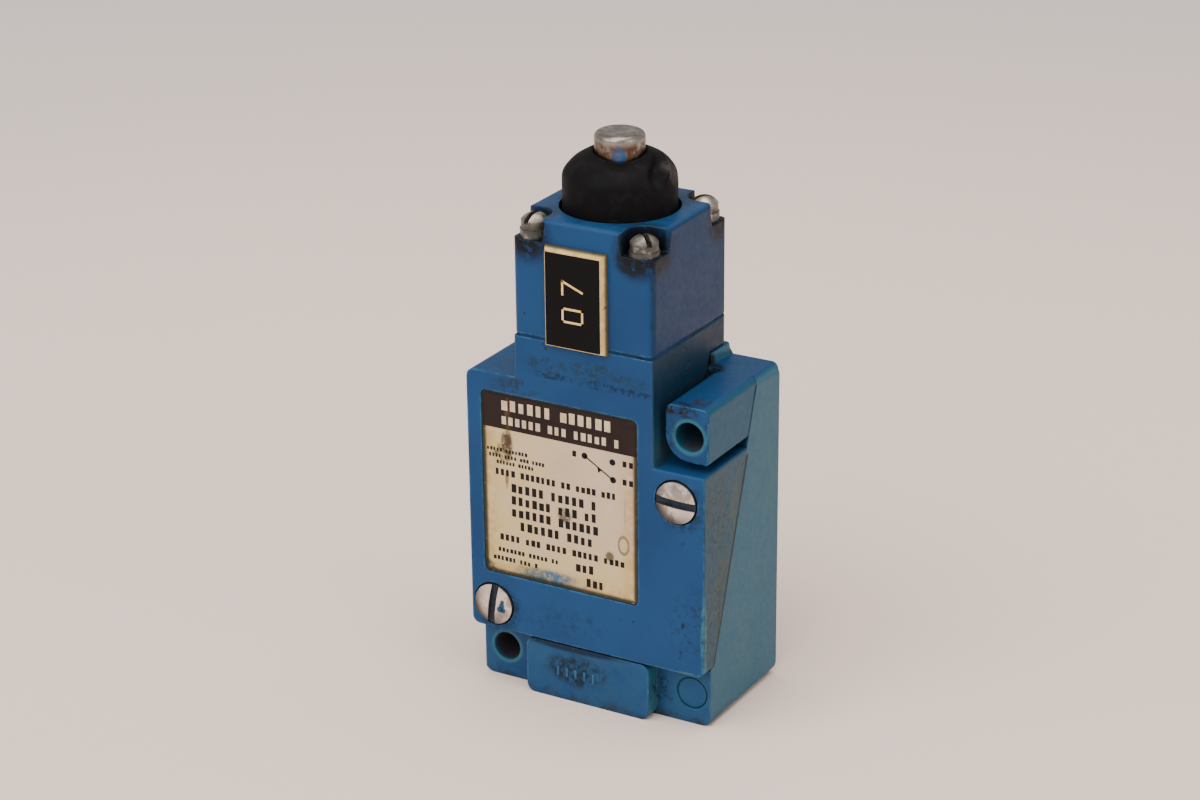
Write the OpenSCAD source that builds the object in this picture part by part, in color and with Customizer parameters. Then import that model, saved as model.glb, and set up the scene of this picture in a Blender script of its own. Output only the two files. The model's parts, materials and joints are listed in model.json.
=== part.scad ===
// Compact plug-in limit switch with a top plunger.
// The switch body plugs onto the wired base along -Y and meets it in a slanted joint.
// Origin: centre of the bounding box in X and Y, on the underside of the base. +Z up, front faces -Y.
// Inside the modules Y is a depth: 0 at the switch body's front face, rising towards the mounting face.

/* [Castings] */
// Width of the base and the switch body
body_w = 44.5; // [44.3:0.1:44.7]
// Depth from the front face to the mounting face
body_d = 26.2; // [26.1:0.1:26.4]
// Height of the underside of the switch body
body_z0 = 10.5; // [10.4:0.1:10.6]
// Height of the shoulders
shoulder_z = 57; // [56.9:0.1:57.1]
// Lean of the joint between base and switch body, from vertical
split_angle = 18.3; // [18.2:0.1:18.4]
// Depth of the slanted joint at the underside of the switch body
split_d0 = 3.1; // [3:0.1:3.2]
// Wall thickness of the castings
wall = 2.4; // [2.3:0.1:2.5]

/* [Base] */
// Half width of the block that holds the conduit entry
conduit_half_w = 11.75; // [11.7:0.05:11.8]
// Radius of the 1/2-14 NPT conduit entry at its pitch line
conduit_r = 9.9; // [9.8:0.1:10]
// Length of the conduit thread
conduit_len = 12.9; // [12.5:0.1:13]
// Radius of the two mounting holes, for number 10 screws
mount_r = 2.55; // [2.5:0.05:2.6]
// Place of the upper mounting hole, across and up
mount_hi = [18.55, 51.9];
// Place of the lower mounting hole, across and up
mount_lo = [-17.45, 5.6];
// Outer radius around the upper mounting hole
ear_r = 4.3; // [4.2:0.1:4.4]
// Depth of the ear's front face
ear_d = 1.75; // [1.7:0.05:1.8]

/* [Head] */
// Width and depth of the square head and neck
head_w = 25.8; // [25.7:0.1:25.9]
// Height of the joint between neck and head
neck_z = 64.4; // [64.3:0.1:64.5]
// Height of the top of the head
head_z = 85; // [84.9:0.1:85.1]
// Height of the ledges under the head screws
ledge_z = 81.1; // [81:0.1:81.2]
// Distance of the head screws from the plunger axis, across and back
head_screw_at = 10; // [9.9:0.05:10.1]

/* [Plunger] */
// Radius of the plunger
plunger_r = 4.15; // [4.1:0.05:4.2]
// Height of the plunger's tip, at rest
tip_z = 97.3; // [97:0.1:97.5]
// Full travel of the plunger
plunger_travel = 5.5; // [5:0.1:5.5]
// Outer radius of the rubber boot
boot_r = 9.47; // [9.4:0.01:9.5]
// Height of the boot's lip on the plunger
boot_z = 94.3; // [94.1:0.1:94.3]

/* [Captive screws] */
// Radius of the two captive screw heads
captive_head_r = 3.6; // [3.5:0.05:3.7]
// Radius of the captive screw shanks
captive_r = 2.05; // [2:0.05:2.1]
// Place of the upper captive screw, across and up
captive_hi = [17.05, 40.95];
// Place of the lower captive screw, across and up
captive_lo = [-17.95, 14.85];
// Turn of the upper screw's slot from level
captive_hi_turn = 3; // [-90:1:90]
// Turn of the lower screw's slot from level
captive_lo_turn = -82; // [-90:1:90]

/* [Electrical] */
// Distance between poles
pole_pitch = 8; // [7.9:0.1:8.1]
// Height of the plug blades
blade_z = 26; // [25.9:0.1:26.1]
// Width of the plug blades
blade_w = 3.2; // [3.1:0.1:3.3]
// Thickness of the plug blades
blade_t = 0.8; // [0.75:0.05:0.85]

/* [Hidden] */

$fn = 64;
gap = 0.1;                        // clearance at faces that meet across a joint
run = 0.05;                       // radial clearance of running fits
far = 200;

half_w = body_w / 2;
tag_t = 1.5;                      // the tag stands proudest of the front
y_front = tag_t - (body_d + tag_t) / 2;
axis_d = head_w / 2 - 0.3;        // depth of the plunger axis
split_lean = tan(split_angle);

// base
base_side = 0.45;                 // how far the base's front edge is drawn in on each side
ear_corner = [mount_hi[0] - ear_r, mount_hi[1] - ear_r];
ear_corner_r = 1.2;
ear_inset = 0.25;                 // the ear's side stands this far inside the widest line
pad_half_w = 13.1;                // raised pad behind the neck
pad_z = 59.2;
pad_d = 19.6;
base_back = 2.8;                  // back wall
base_top_z = shoulder_z + 0.1;
cavity_z = conduit_len;
boss_r = 4.4;
cavity_half = half_w - 2.85;
conduit_d = 14;                   // depth of the conduit entry's axis
conduit_gap = 0.35;               // gap between the conduit block and the switch body above it
conduit_corner_r = 1.6;
ground_at = [-16, 26];
ground_boss_d = 17;
captive_hi_tip = 19.5;
captive_lo_tip = 11.5;
block_screw_z = 32.6;
pin_mark_at = [18.35, 5.6];       // round ejector mark beside the conduit block
pin_mark_r = 2.9;

// switch body
notch = [head_w / 2, 46.05];      // notch for the ear, across and up
neck_back = 25.15;
roof_z = 54.6;                    // ceiling of the switch body's hollow
label_box = [-19.55, 20.8, 9.95, 53.7];
label_sink = 0.5;
captive_sink = 0.9;
spring_pocket_z = 57.2;
spring_pocket_r = 6.6;
ring_r = 2.45;                    // retaining rings behind the captive screws' bosses
ring_t = 0.6;
ring_gap = 0.15;                  // clearance around a ring in its counterbore
joint_inset = 0.7;                // gasket in the slanted joint
joint_w = 1.1;
joint_depth = 0.6;

// head
head_screw_r = 1.42;
head_screw_head_r = 2.3;
pocket_r = 2.8;
head_screw_tip = 60.2;
head_screw_turns = [80, -40, 45, 75];
head_screw_wall = 1.4;            // upright part of a head screw's head, below its dome
head_screw_dome = 1.2;
head_dome_r = (head_screw_head_r ^ 2 + head_screw_dome ^ 2) / (2 * head_screw_dome);
head_corners = [[-1, -1], [1, -1], [1, 1], [-1, 1]] * head_screw_at;
head_washer_t = [1.4, 0.8, 1.5, 0.9];  // washers stacked under each head screw
gasket_t = 0.5;
gasket_inset = 0.08;
head_bottom = neck_z + gasket_t;
bushing_r = 6;
bushing_z = [72.8, 83];
recess_z = 83.2;
recess_r = 9.9;
head_cavity_r = 7.2;

// plunger line
skirt_r = 2.75;                   // bore in the plunger's foot
skirt_top = 79;
collar = [71.4, 72.6];
pin_r = 1.25;
pin_bottom = 48;
pin_head = [65.75, 66.95];
pin_head_r = 2.6;
guide_top = 58.4;
skirt_z = guide_top + plunger_travel + 1.1;

// tag and boot
tag_box = [-6.6, 63.8, 4.8, 81];
tag_bevel = 0.6;                  // the plate's sides lean in by this much
tag_rim = 0.12;                   // bright rim left around the black face
tag_skin = 0.1;                   // thickness of the black face
boot_wall = 1.2;
boot_shoulder_z = 88.3;           // where the upright wall turns into the dome
boot_dome_r = 6.05;
boot_lip_r = plunger_r + run;

// electrical
poles = [-pole_pitch, 0, pole_pitch];
block_half = 12.6;
block_d = [17.9, body_d - base_back];
block_z = [15.6, 30];
block_flange_z = 35;
terminal_z = 18.8;
case_x = [-13.6, 10.2];
case_z = [31.4, 46.2];
case_d = [7.8, 16.1];
cover_t = 1.3;
case_wall = 1.3;
case_screws = [[-11.4, 33.7], [7.8, 33.7]];
carrier_z = [23.3, 28.4];
carrier_d = [9.2, 16.6];
carrier_screws = [[-4, blade_z], [4, blade_z]];
tail_d = [10.6, 13.6];
tail_x = [-7.5, -1.5, 4];         // terminal tails: common, normally open, normally closed
link_z = 30.2;
tail_end = link_z - 0.9;
pivot = [-10.5, 41.5];            // hinge of the snap blade, across and up
contact_x = 4.8;
blade_bottom = pivot[1] - 0.15;
contact_r = 1.2;
small_screw_r = 1.1;
small_head_r = 1.9;

/* Helpers */

// Depth of the slanted joint at height z
function split_d(z) = split_d0 + (z - body_z0) * split_lean;
// Depth of the front of a captive screw's ring, which stays ring_gap in front of the slanted joint
function ring_d(at) = split_d(at[1] - ring_r - ring_gap) - gap - ring_gap - ring_t;

// Moves the depth frame into the part's frame
module framed() translate([0, y_front, 0]) children();

// Box from one corner to the other
module span(a, b) translate(a) cube(b - a);

// Everything behind the slanted joint, moved back by shift
module behind_split(shift = 0)
    translate([0, split_d0 + shift, body_z0]) rotate([-split_angle, 0, 0])
        translate([-far / 2, 0, -far]) cube([far, far, 2 * far]);

// Everything in front of the slanted joint, moved forward by shift
module before_split(shift = 0)
    translate([0, split_d0 - shift, body_z0]) rotate([-split_angle, 0, 0])
        translate([-far / 2, -far, -far]) cube([far, far, 2 * far]);

// Round bar along the depth, from d0 to d1
module bar(at, r, d0, d1) translate([at[0], d0, at[1]]) rotate([-90, 0, 0]) cylinder(r = r, h = d1 - d0);

// Upright bar on the plunger axis
module post(r, z0, z1) translate([0, axis_d, z0]) cylinder(r = r, h = z1 - z0);

// Upright ring on the plunger axis
module tube(r_out, r_in, z0, z1) difference() {
    post(r_out, z0, z1);
    post(r_in, z0 - 1, z1 + 1);
}

// Rectangle from corner a to corner b with rounded corners
module rounded(a, b, r) {
    translate([a[0] + r, a[1]]) square([b[0] - a[0] - 2 * r, b[1] - a[1]]);
    translate([a[0], a[1] + r]) square([b[0] - a[0], b[1] - a[1] - 2 * r]);
    for (x = [a[0] + r, b[0] - r], y = [a[1] + r, b[1] - r]) translate([x, y]) circle(r = r);
}

// Shape drawn across and up, extruded along the depth from d0 to d1
module extrude_depth(d0, d1)
    translate([0, d1, 0]) rotate([90, 0, 0]) linear_extrude(d1 - d0) children();

// Head of a slotted screw, seat at z = 0 and top at z = -head_h
module slotted_head(head_r, head_h, turn, domed) {
    slot_w = 0.38 * head_r;
    slot_deep = 0.6 * head_h;
    dome_r = 4 * head_r;
    difference() {
        if (domed) rotate_extrude() intersection() {
            translate([0, -head_h]) square([head_r, head_h]);
            translate([0, dome_r - head_h]) circle(r = dome_r);
        } else translate([0, 0, -head_h]) cylinder(r = head_r, h = head_h);
        rotate(turn) translate([-2 * head_r, -slot_w / 2, -head_h - 1])
            cube([4 * head_r, slot_w, 1 + slot_deep]);
    }
}

// Slotted screw along +depth: head in front of seat_d, shank behind it
module slotted_screw(at, head_r, head_h, shank_r, seat_d, tip_d, turn = 0, domed = false)
    translate([at[0], seat_d, at[1]]) rotate([-90, 0, 0]) {
        slotted_head(head_r, head_h, turn, domed);
        cylinder(r = shank_r, h = tip_d - seat_d);
    }

// Round wire coil on the plunger axis with closed ends
module coil(mean_r, wire_r, z0, z1, turns) {
    sides = 8;
    steps = 18;
    n = turns * steps;
    rise = z1 - z0 - 2 * wire_r;
    points = [for (i = [0:n], k = [0:sides - 1])
        let (r = mean_r + wire_r * cos(k * 360 / sides), a = i * 360 / steps)
        [r * cos(a), r * sin(a), z0 + wire_r + rise * i / n + wire_r * sin(k * 360 / sides)]];
    skins = [for (i = [0:n - 1], k = [0:sides - 1])
        let (p = i * sides, q = p + sides, k2 = (k + 1) % sides) [p + k, q + k, q + k2, p + k2]];
    caps = [[for (k = [0:sides - 1]) k], [for (k = [sides - 1:-1:0]) n * sides + k]];
    translate([0, axis_d, 0]) polyhedron(points, concat(skins, caps));
}

/* Base */

module base_outline() linear_extrude(base_top_z)
    polygon([[-half_w + base_side, split_d0], [half_w - base_side, split_d0],
             [half_w, body_d], [-half_w, body_d]]);

module base_mass() {
    corner_r = 2.2;
    intersection() {
        base_outline();
        extrude_depth(0, body_d) rounded([-half_w, 0], [half_w, base_top_z], corner_r);
        union() {
            behind_split(gap);
            span([-half_w, 0, 0], [half_w, body_d, body_z0 - gap]);
        }
    }
    extrude_depth(0.15, body_d)
        rounded([-conduit_half_w, 0], [conduit_half_w, body_z0 - conduit_gap], conduit_corner_r);
    extrude_depth(ear_d, body_d) intersection() {
        union() {
            translate(mount_hi) circle(r = ear_r);
            translate([mount_hi[0], ear_corner[1]]) square(far);
            translate([ear_corner[0], mount_hi[1]]) square(far);
        }
        rounded([ear_corner[0], ear_corner[1] - 5], [half_w - ear_inset, base_top_z], ear_corner_r);
    }
    span([-pad_half_w, pad_d, shoulder_z - 1], [pad_half_w, body_d, pad_z]);
}

module base_housing() color("steelblue") framed() difference() {
    base_mass();
    difference() {
        extrude_depth(0.5, body_d - base_back)
            rounded([-cavity_half, cavity_z], [cavity_half, base_top_z - 3.5], 2.5);
        bar(captive_hi, boss_r, 0, body_d);
        bar(captive_lo, boss_r, 0, body_d);
        span([captive_hi[0], 0, captive_hi[1] - boss_r], [half_w, body_d, captive_hi[1] + boss_r]);
        span([-half_w, 0, 0], [captive_lo[0], body_d, captive_lo[1] + boss_r]);
        bar(mount_hi, ear_r + 0.6, 0, body_d);
        span([ear_corner[0] - 0.6, 0, mount_hi[1]], [half_w, body_d, base_top_z]);
        bar(ground_at, 3, ground_boss_d, body_d);
    }
    for (at = [mount_hi, mount_lo]) bar(at, mount_r, -1, body_d + 1);
    bar(captive_hi, captive_r + run, 0, captive_hi_tip + 1);
    bar(captive_lo, captive_r + run, 0, captive_lo_tip + 1);
    bar(ground_at, 1.6, 10, body_d - 0.8);
    for (x = [poles[0], poles[2]] * 0.75) bar([x, block_screw_z], small_screw_r, 10, body_d - 0.8);
    translate([0, conduit_d, -1]) cylinder(r = conduit_r, h = conduit_len + 2);
    bar(pin_mark_at, pin_mark_r, split_d0 - 1, split_d0 + 0.12);
    difference() {
        bar(pin_mark_at, pin_mark_r, split_d0 - 1, split_d0 + 0.35);
        bar(pin_mark_at, pin_mark_r - 0.3, 0, far);
    }
}

module base_terminal_block() color("saddlebrown") framed() difference() {
    union() {
        span([-block_half, block_d[0], block_z[0]], [block_half, block_d[1], block_z[1]]);
        span([-block_half, block_d[1] - 2.5, block_z[1]], [block_half, block_d[1], block_flange_z]);
        for (x = [-1.5, -0.5, 0.5, 1.5] * pole_pitch)
            span([x - 0.5, block_d[0] - 2.4, block_z[0]], [x + 0.5, block_d[0], blade_z - 3]);
    }
    for (x = poles) {
        span([x - blade_w / 2 - 0.3, 0, blade_z - 1.5],
             [x + blade_w / 2 + 0.3, block_d[1] - 0.5, blade_z + 1.5]);
        bar([x, terminal_z], 1.5, 0, block_d[1] - 1);
    }
    for (x = [poles[0], poles[2]] * 0.75) bar([x, block_screw_z], small_screw_r, 0, far);
}

module terminal_block_screws() color("silver") framed()
    for (x = [poles[0], poles[2]] * 0.75)
        slotted_screw([x, block_screw_z], small_head_r, 1.3, small_screw_r, block_d[1] - 2.5, body_d - 1, 30);

// Each contact: two leaves around the blade, a web behind them and a terminal pad on the block's face
module socket_contacts() color("gold") framed() for (x = poles) {
    leaf = blade_t / 2 + run;
    t = 0.5;
    back = block_d[1] - 0.6;
    for (side = [-1, 1]) translate([0, 0, blade_z + side * (leaf + t / 2)])
        span([x - blade_w / 2, block_d[0], -t / 2], [x + blade_w / 2, back, t / 2]);
    span([x - blade_w / 2, back - t, blade_z - leaf - t], [x + blade_w / 2, back, blade_z + leaf + t]);
    difference() {
        span([x - 2.8, block_d[0] - 0.6, block_z[0] + 0.4], [x + 2.8, block_d[0], blade_z - leaf]);
        bar([x, terminal_z], 1.6, 0, far);
    }
}

module terminal_clamps() color("lightgrey") framed() for (x = poles) difference() {
    span([x - 2.7, block_d[0] - 1.5, terminal_z - 2.7], [x + 2.7, block_d[0] - 0.65, terminal_z + 2.7]);
    bar([x, terminal_z], 1.6, 0, far);
}

module terminal_screws() color("silver") framed() for (i = [0:2])
    slotted_screw([poles[i], terminal_z], 2.6, 1.5, 1.45, block_d[0] - 1.5, block_d[1] - 1.5, 20 + 40 * i);

module ground_screw() color("green") framed()
    slotted_screw(ground_at, 2.9, 1.8, 1.6, ground_boss_d - 0.9, body_d - 1, 55);

module ground_cup_washer() color("gold") framed() difference() {
    bar(ground_at, 3.1, ground_boss_d - 0.9, ground_boss_d);
    bar(ground_at, 1.65, 0, far);
}

/* Switch body */

module switch_body_mass() {
    corner_r = 1.4;
    intersection() {
        before_split(gap);
        difference() {
            extrude_depth(0, body_d) rounded([-half_w, body_z0], [half_w, shoulder_z], corner_r);
            span([notch[0], -1, notch[1]], [far, far, far]);
        }
    }
    intersection() {
        before_split(gap);
        span([-head_w / 2, 0, roof_z], [head_w / 2, far, neck_z]);
    }
    intersection() {
        translate([0, axis_d, shoulder_z + 0.4]) linear_extrude(neck_z - shoulder_z - 0.4)
            rounded([-head_w / 2, -axis_d], [head_w / 2, neck_back - axis_d], 1.2);
        union() {
            span([-far, -1, 0], [far, pad_d - 1.1, far]);
            span([-far, -1, pad_z + 0.3], [far, far, far]);
        }
    }
}

module switch_body_hollow() difference() {
    union() {
        span([-half_w + wall, wall, body_z0 + wall], [half_w - wall, far, notch[1] - wall]);
        span([-half_w + wall, wall, body_z0 + wall], [notch[0] - wall, far, roof_z]);
    }
    for (at = [captive_hi, captive_lo]) bar(at, boss_r, 0, far);
    span([captive_hi[0], 0, captive_hi[1] - boss_r], [far, far, far]);
    span([-half_w, 0, 0], [captive_lo[0], far, captive_lo[1] + boss_r]);
    for (at = case_screws) bar(at, 2.2, 0, case_d[0]);
    for (at = carrier_screws) bar(at, 2.1, 0, carrier_d[0]);
}

module switch_body() color("steelblue") framed() difference() {
    switch_body_mass();
    switch_body_hollow();
    joint_ring(0, 1);
    label_recess(0);
    bar(captive_hi, captive_head_r + 0.3, -1, captive_sink);
    bar(captive_lo, captive_head_r + 0.3, -1, captive_sink);
    for (at = [captive_hi, captive_lo]) bar(at, captive_r + run, -1, far);
    for (at = [captive_hi, captive_lo]) bar(at, ring_r + ring_gap, ring_d(at) - ring_gap, far);
    for (at = case_screws) bar(at, small_screw_r, wall + 1, far);
    for (at = carrier_screws) bar(at, small_screw_r, wall + 1, far);
    post(spring_pocket_r, spring_pocket_z, far);
    post(2.9, roof_z - 1, far);
    for (s = head_corners)
        translate([s[0], axis_d + s[1], head_screw_tip - 0.5]) cylinder(r = head_screw_r, h = far);
}

// Recess for the rating label, shrunk by trim
module label_recess(trim)
    extrude_depth(-1, label_sink) rounded([label_box[0] + trim, label_box[1] + trim],
                                          [label_box[2] - trim, label_box[3] - trim], 1);

// Ring along the slanted face, outside the hollow, from depth joint_depth - trim to out in front of the face
module joint_ring(trim, out) {
    foot = joint_inset + trim;
    rim = foot + joint_w - 2 * trim;
    up = 1 / cos(split_angle);
    translate([0, split_d0 - gap, body_z0]) rotate([-split_angle, 0, 0])
        extrude_depth(trim - joint_depth, out) difference() {
            union() {
                translate([-half_w + foot, foot])
                    square([body_w - 2 * foot, (notch[1] - body_z0) * up - 2 * foot]);
                translate([-half_w + foot, foot])
                    square([half_w + notch[0] - 2 * foot, (shoulder_z - body_z0) * up - 2 * foot]);
            }
            translate([-half_w + rim, rim]) square([body_w - 2 * rim, (notch[1] - body_z0) * up - 2 * rim]);
            translate([-half_w + rim, rim])
                square([half_w + notch[0] - 2 * rim, (shoulder_z - body_z0) * up - 2 * rim]);
        }
}
module joint_gasket() color("dimgrey") framed() joint_ring(0.03, gap / 2);

module rating_label() color("moccasin") framed() intersection() {
    label_recess(0.12);
    span([-far, 0.12, 0], [far, label_sink, far]);
}

module captive_screw(at, tip_d, turn)
    slotted_screw(at, captive_head_r, 1.2, captive_r, 0.45, tip_d, turn, domed = true);

module captive_screw_upper() color("silver") framed()
    captive_screw(captive_hi, captive_hi_tip, captive_hi_turn);
module captive_screw_lower() color("silver") framed()
    captive_screw(captive_lo, captive_lo_tip, captive_lo_turn);

module captive_ring(at) difference() {
    bar(at, ring_r, ring_d(at), ring_d(at) + ring_t);
    bar(at, captive_r, 0, far);
}
module captive_ring_upper() color("silver") framed() captive_ring(captive_hi);
module captive_ring_lower() color("silver") framed() captive_ring(captive_lo);

module captive_screw_washers() color("black") framed() for (at = [captive_hi, captive_lo]) difference() {
    bar(at, captive_head_r + 0.2, 0.5, captive_sink);
    bar(at, captive_r + 0.1, 0, far);
}

/* Plug and basic switch */

module plug_carrier() color("saddlebrown") framed() difference() {
    span([-block_half, carrier_d[0], carrier_z[0]], [block_half, carrier_d[1], carrier_z[1]]);
    for (x = poles)
        span([x - blade_w / 2, 0, blade_z - blade_t / 2], [x + blade_w / 2, far, blade_z + blade_t / 2]);
    for (at = carrier_screws) {
        bar(at, small_screw_r, 0, far);
        bar(at, small_head_r + 0.1, carrier_d[1] - 1.4, far);
    }
}

module plug_carrier_screws() color("silver") framed()
    for (at = carrier_screws) rear_screw(at, carrier_d[1] - 1.4, 5);

// Small slotted screw with its head at the back
module rear_screw(at, seat_d, tip_d) translate([0, 2 * seat_d, 0]) mirror([0, 1, 0])
    slotted_screw(at, small_head_r, 1.2, small_screw_r, seat_d, 2 * seat_d - tip_d, 40);

module plug_blades() color("gold") framed() for (x = poles)
    span([x - blade_w / 2, carrier_d[0] - 0.1, blade_z - blade_t / 2],
         [x + blade_w / 2, block_d[1] - 1.5, blade_z + blade_t / 2]);

// Links from the terminal tails to the front ends of the plug blades
module jumper_links() color("peru") framed() for (i = [0:2]) {
    t = 0.6;
    front = carrier_d[0] - 0.1 - t;
    span([poles[i] - blade_w / 2, front, blade_z - 1], [poles[i] + blade_w / 2, front + t, link_z]);
    span([min(poles[i] - blade_w / 2, tail_x[i] - 0.3), front, link_z - t],
         [max(poles[i] + blade_w / 2, tail_x[i] + 0.3), tail_d[0], link_z]);
}

module basic_switch_case() color("black") framed() difference() {
    span([case_x[0], case_d[0], case_z[0]], [case_x[1], case_d[1], case_z[1]]);
    difference() {
        span([case_x[0] + case_wall, case_d[0] + case_wall, case_z[0] + case_wall],
             [case_x[1] - case_wall, far, case_z[1] - case_wall]);
        for (at = case_screws) bar(at, 2.2, 0, far);
    }
    for (at = case_screws) bar(at, small_screw_r, 0, far);
    post(1.5 + run, case_z[1] - 3, case_z[1] + 1);
    for (x = tail_x)
        span([x - 0.35, tail_d[0] - run, case_z[0] - 1], [x + 0.35, tail_d[1] + run, case_z[0] + 2]);
}

module basic_switch_cover() color("dimgrey") framed() difference() {
    span([case_x[0], case_d[1], case_z[0]], [case_x[1], case_d[1] + cover_t, case_z[1]]);
    for (at = case_screws) bar(at, small_screw_r, 0, far);
}

module basic_switch_screws() color("silver") framed()
    for (at = case_screws) rear_screw(at, case_d[1] + cover_t, 5);

// Strip of metal through a list of corners, across and up
module strip(corners, t = 0.6) for (i = [0:len(corners) - 2]) {
    a = corners[i];
    b = corners[i + 1];
    span([min(a[0], b[0]) - t / 2, tail_d[0], min(a[1], b[1]) - t / 2],
         [max(a[0], b[0]) + t / 2, tail_d[1], max(a[1], b[1]) + t / 2]);
}

module contact_pad(z0, z1) translate([contact_x, axis_d, z0]) cylinder(r = contact_r, h = z1 - z0);

module common_terminal() color("gold") framed()
    strip([[tail_x[0], tail_end], [tail_x[0], pivot[1] - 1], [-11.1, pivot[1] - 1], [-11.1, pivot[1] + 1.2]]);

module normally_open_terminal() color("gold") framed() {
    strip([[tail_x[1], tail_end], [tail_x[1], 38.7], [contact_x + 1, 38.7]]);
    contact_pad(39, 39.3);
}

module normally_closed_terminal() color("gold") framed() {
    strip([[tail_x[2], tail_end], [tail_x[2], 36.6], [8.3, 36.6], [8.3, 43.2], [contact_x - 1, 43.2]]);
    contact_pad(42.2, 42.9);
}

// Contact blade that rocks on the round bead along its rear edge
module snap_blade() color("peru") framed() difference() {
    union() {
        span([pivot[0], axis_d - 2, blade_bottom], [contact_x + 1.8, axis_d + 2, blade_bottom + 0.3]);
        bar(pivot, 0.25, axis_d - 2, axis_d + 2);
    }
    span([-7, axis_d - 0.9, 0], [-2.5, axis_d + 0.9, far]);
    translate([contact_x, axis_d, 0]) cylinder(r = 0.6, h = far);
}

module moving_contact() color("silver") framed() {
    contact_pad(blade_bottom - 0.5, blade_bottom);
    contact_pad(blade_bottom + 0.3, 42.15);
    translate([contact_x, axis_d, blade_bottom - 0.2]) cylinder(r = 0.6, h = 0.6);
}

module switch_button() color("firebrick") framed() {
    post(1.5, 44, 47.6);
    post(2.1, 43.6, 44.6);
    post(0.8, 42.7, 43.7);
}

/* Operating line */

module transfer_pin() color("silver") framed() {
    post(pin_r, pin_bottom, pin_head[0] + 0.1);
    post(pin_head_r, pin_head[0], pin_head[1]);
}

module pin_guide_bushing() color("goldenrod") framed() difference() {
    union() {
        post(2.9, roof_z - 2, spring_pocket_z);
        post(4.4, spring_pocket_z, guide_top);
    }
    post(pin_r + run, 0, far);
    post(2.3, guide_top - 0.9, far);
}

module pin_seal_ring() color("black") framed() translate([0, axis_d, guide_top - 0.45])
    rotate_extrude() translate([1.82, 0]) circle(r = 0.44);

module spring_seat_washer() color("silver") framed() tube(6.4, 4.6, spring_pocket_z, spring_pocket_z + 0.6);

module return_spring() color("silver") framed() coil(5.5, 0.4, spring_pocket_z + 0.6, collar[0] - run, 6);

module overtravel_spring() color("silver") framed() coil(2.1, 0.3, pin_head[1] + run, skirt_top, 8);

module pin_retaining_clip() color("silver") framed() tube(skirt_r, 1.6, skirt_z, skirt_z + 0.6);

module plunger() color("silver") framed() {
    edge = 0.9;                   // rounded edge of the tip
    difference() {
        union() {
            post(plunger_r, skirt_z, tip_z - edge);
            translate([0, axis_d, 0]) rotate_extrude() {
                translate([0, tip_z - edge - 0.1]) square([plunger_r - edge, edge + 0.1]);
                translate([plunger_r - edge, tip_z - edge]) intersection() {
                    circle(r = edge);
                    translate([0, -0.1]) square(edge + 0.1);
                }
            }
        }
        post(skirt_r, skirt_z - 1, skirt_top);
        tube(plunger_r + 1, plunger_r - 0.5, collar[0], collar[1]);
    }
}

module plunger_collar() color("silver") framed() tube(6.2, plunger_r - 0.5, collar[0], collar[1]);

module plunger_bushing() color("goldenrod") framed()
    tube(bushing_r, plunger_r + run, bushing_z[0], bushing_z[1]);

/* Head */

module head_plan() translate([0, axis_d])
    rounded([-head_w / 2, -axis_d], [head_w / 2, neck_back - axis_d], 1.2);

module head_housing() color("steelblue") framed() difference() {
    translate([0, 0, head_bottom]) linear_extrude(head_z - head_bottom) head_plan();
    for (sx = [0, 1], sy = [0, 1]) translate([0, axis_d, 0]) mirror([sx, 0, 0]) mirror([0, sy, 0]) {
        translate([head_screw_at, head_screw_at, ledge_z]) {
            cylinder(r = pocket_r, h = far);
            translate([-pocket_r, 0, 0]) cube(far);
            translate([0, -pocket_r, 0]) cube(far);
        }
        translate([head_screw_at, head_screw_at, 0]) cylinder(r = head_screw_r + 0.15, h = far);
    }
    post(recess_r, recess_z, far);
    post(bushing_r, head_bottom - 1, far);
    post(head_cavity_r, head_bottom - 1, bushing_z[0]);
}

module head_gasket() color("dimgrey") framed() difference() {
    translate([0, 0, neck_z]) linear_extrude(gasket_t) difference() {
        translate([0, axis_d]) rounded([-head_w / 2 + gasket_inset, -axis_d + gasket_inset],
                                       [head_w / 2 - gasket_inset, neck_back - axis_d - gasket_inset], 1.1);
        translate([0, axis_d]) circle(r = head_cavity_r);
    }
    for (s = head_corners)
        translate([s[0], axis_d + s[1], 0]) cylinder(r = head_screw_r + 0.15, h = far);
}

module head_screws() color("silver") framed() for (i = [0:3]) {
    s = head_corners[i];
    seat = ledge_z + head_washer_t[i];
    top = head_screw_wall + head_screw_dome;
    translate([s[0], axis_d + s[1], 0]) {
        difference() {
            translate([0, 0, seat]) rotate_extrude() intersection() {
                square([head_screw_head_r, top]);
                translate([0, top - head_dome_r]) circle(r = head_dome_r);
            }
            rotate(head_screw_turns[i]) translate([-3, -0.45, seat + 1]) cube([6, 0.9, 3]);
        }
        translate([0, 0, head_screw_tip]) cylinder(r = head_screw_r, h = seat + 0.1 - head_screw_tip);
    }
}

module head_screw_washers() color("silver") framed() for (i = [0:3]) {
    s = head_corners[i];
    translate([s[0], axis_d + s[1], ledge_z]) difference() {
        cylinder(r = 2.5, h = head_washer_t[i]);
        translate([0, 0, -1]) cylinder(r = head_screw_r + 0.05, h = 4);
    }
}

/* Tag */

// Plate with bevelled edges: full size at the back, drawn in by the bevel at the front
module tag_core() color("goldenrod") framed() hull() {
    span([tag_box[0], -0.1, tag_box[1]], [tag_box[2], -0.01, tag_box[3]]);
    span([tag_box[0] + tag_bevel, tag_skin - tag_t, tag_box[1] + tag_bevel],
         [tag_box[2] - tag_bevel, -0.01, tag_box[3] - tag_bevel]);
}

module tag_face() color("black") framed()
    span([tag_box[0] + tag_bevel + tag_rim, -tag_t, tag_box[1] + tag_bevel + tag_rim],
         [tag_box[2] - tag_bevel - tag_rim, tag_skin - tag_t, tag_box[3] - tag_bevel - tag_rim]);

/* Boot */

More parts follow.
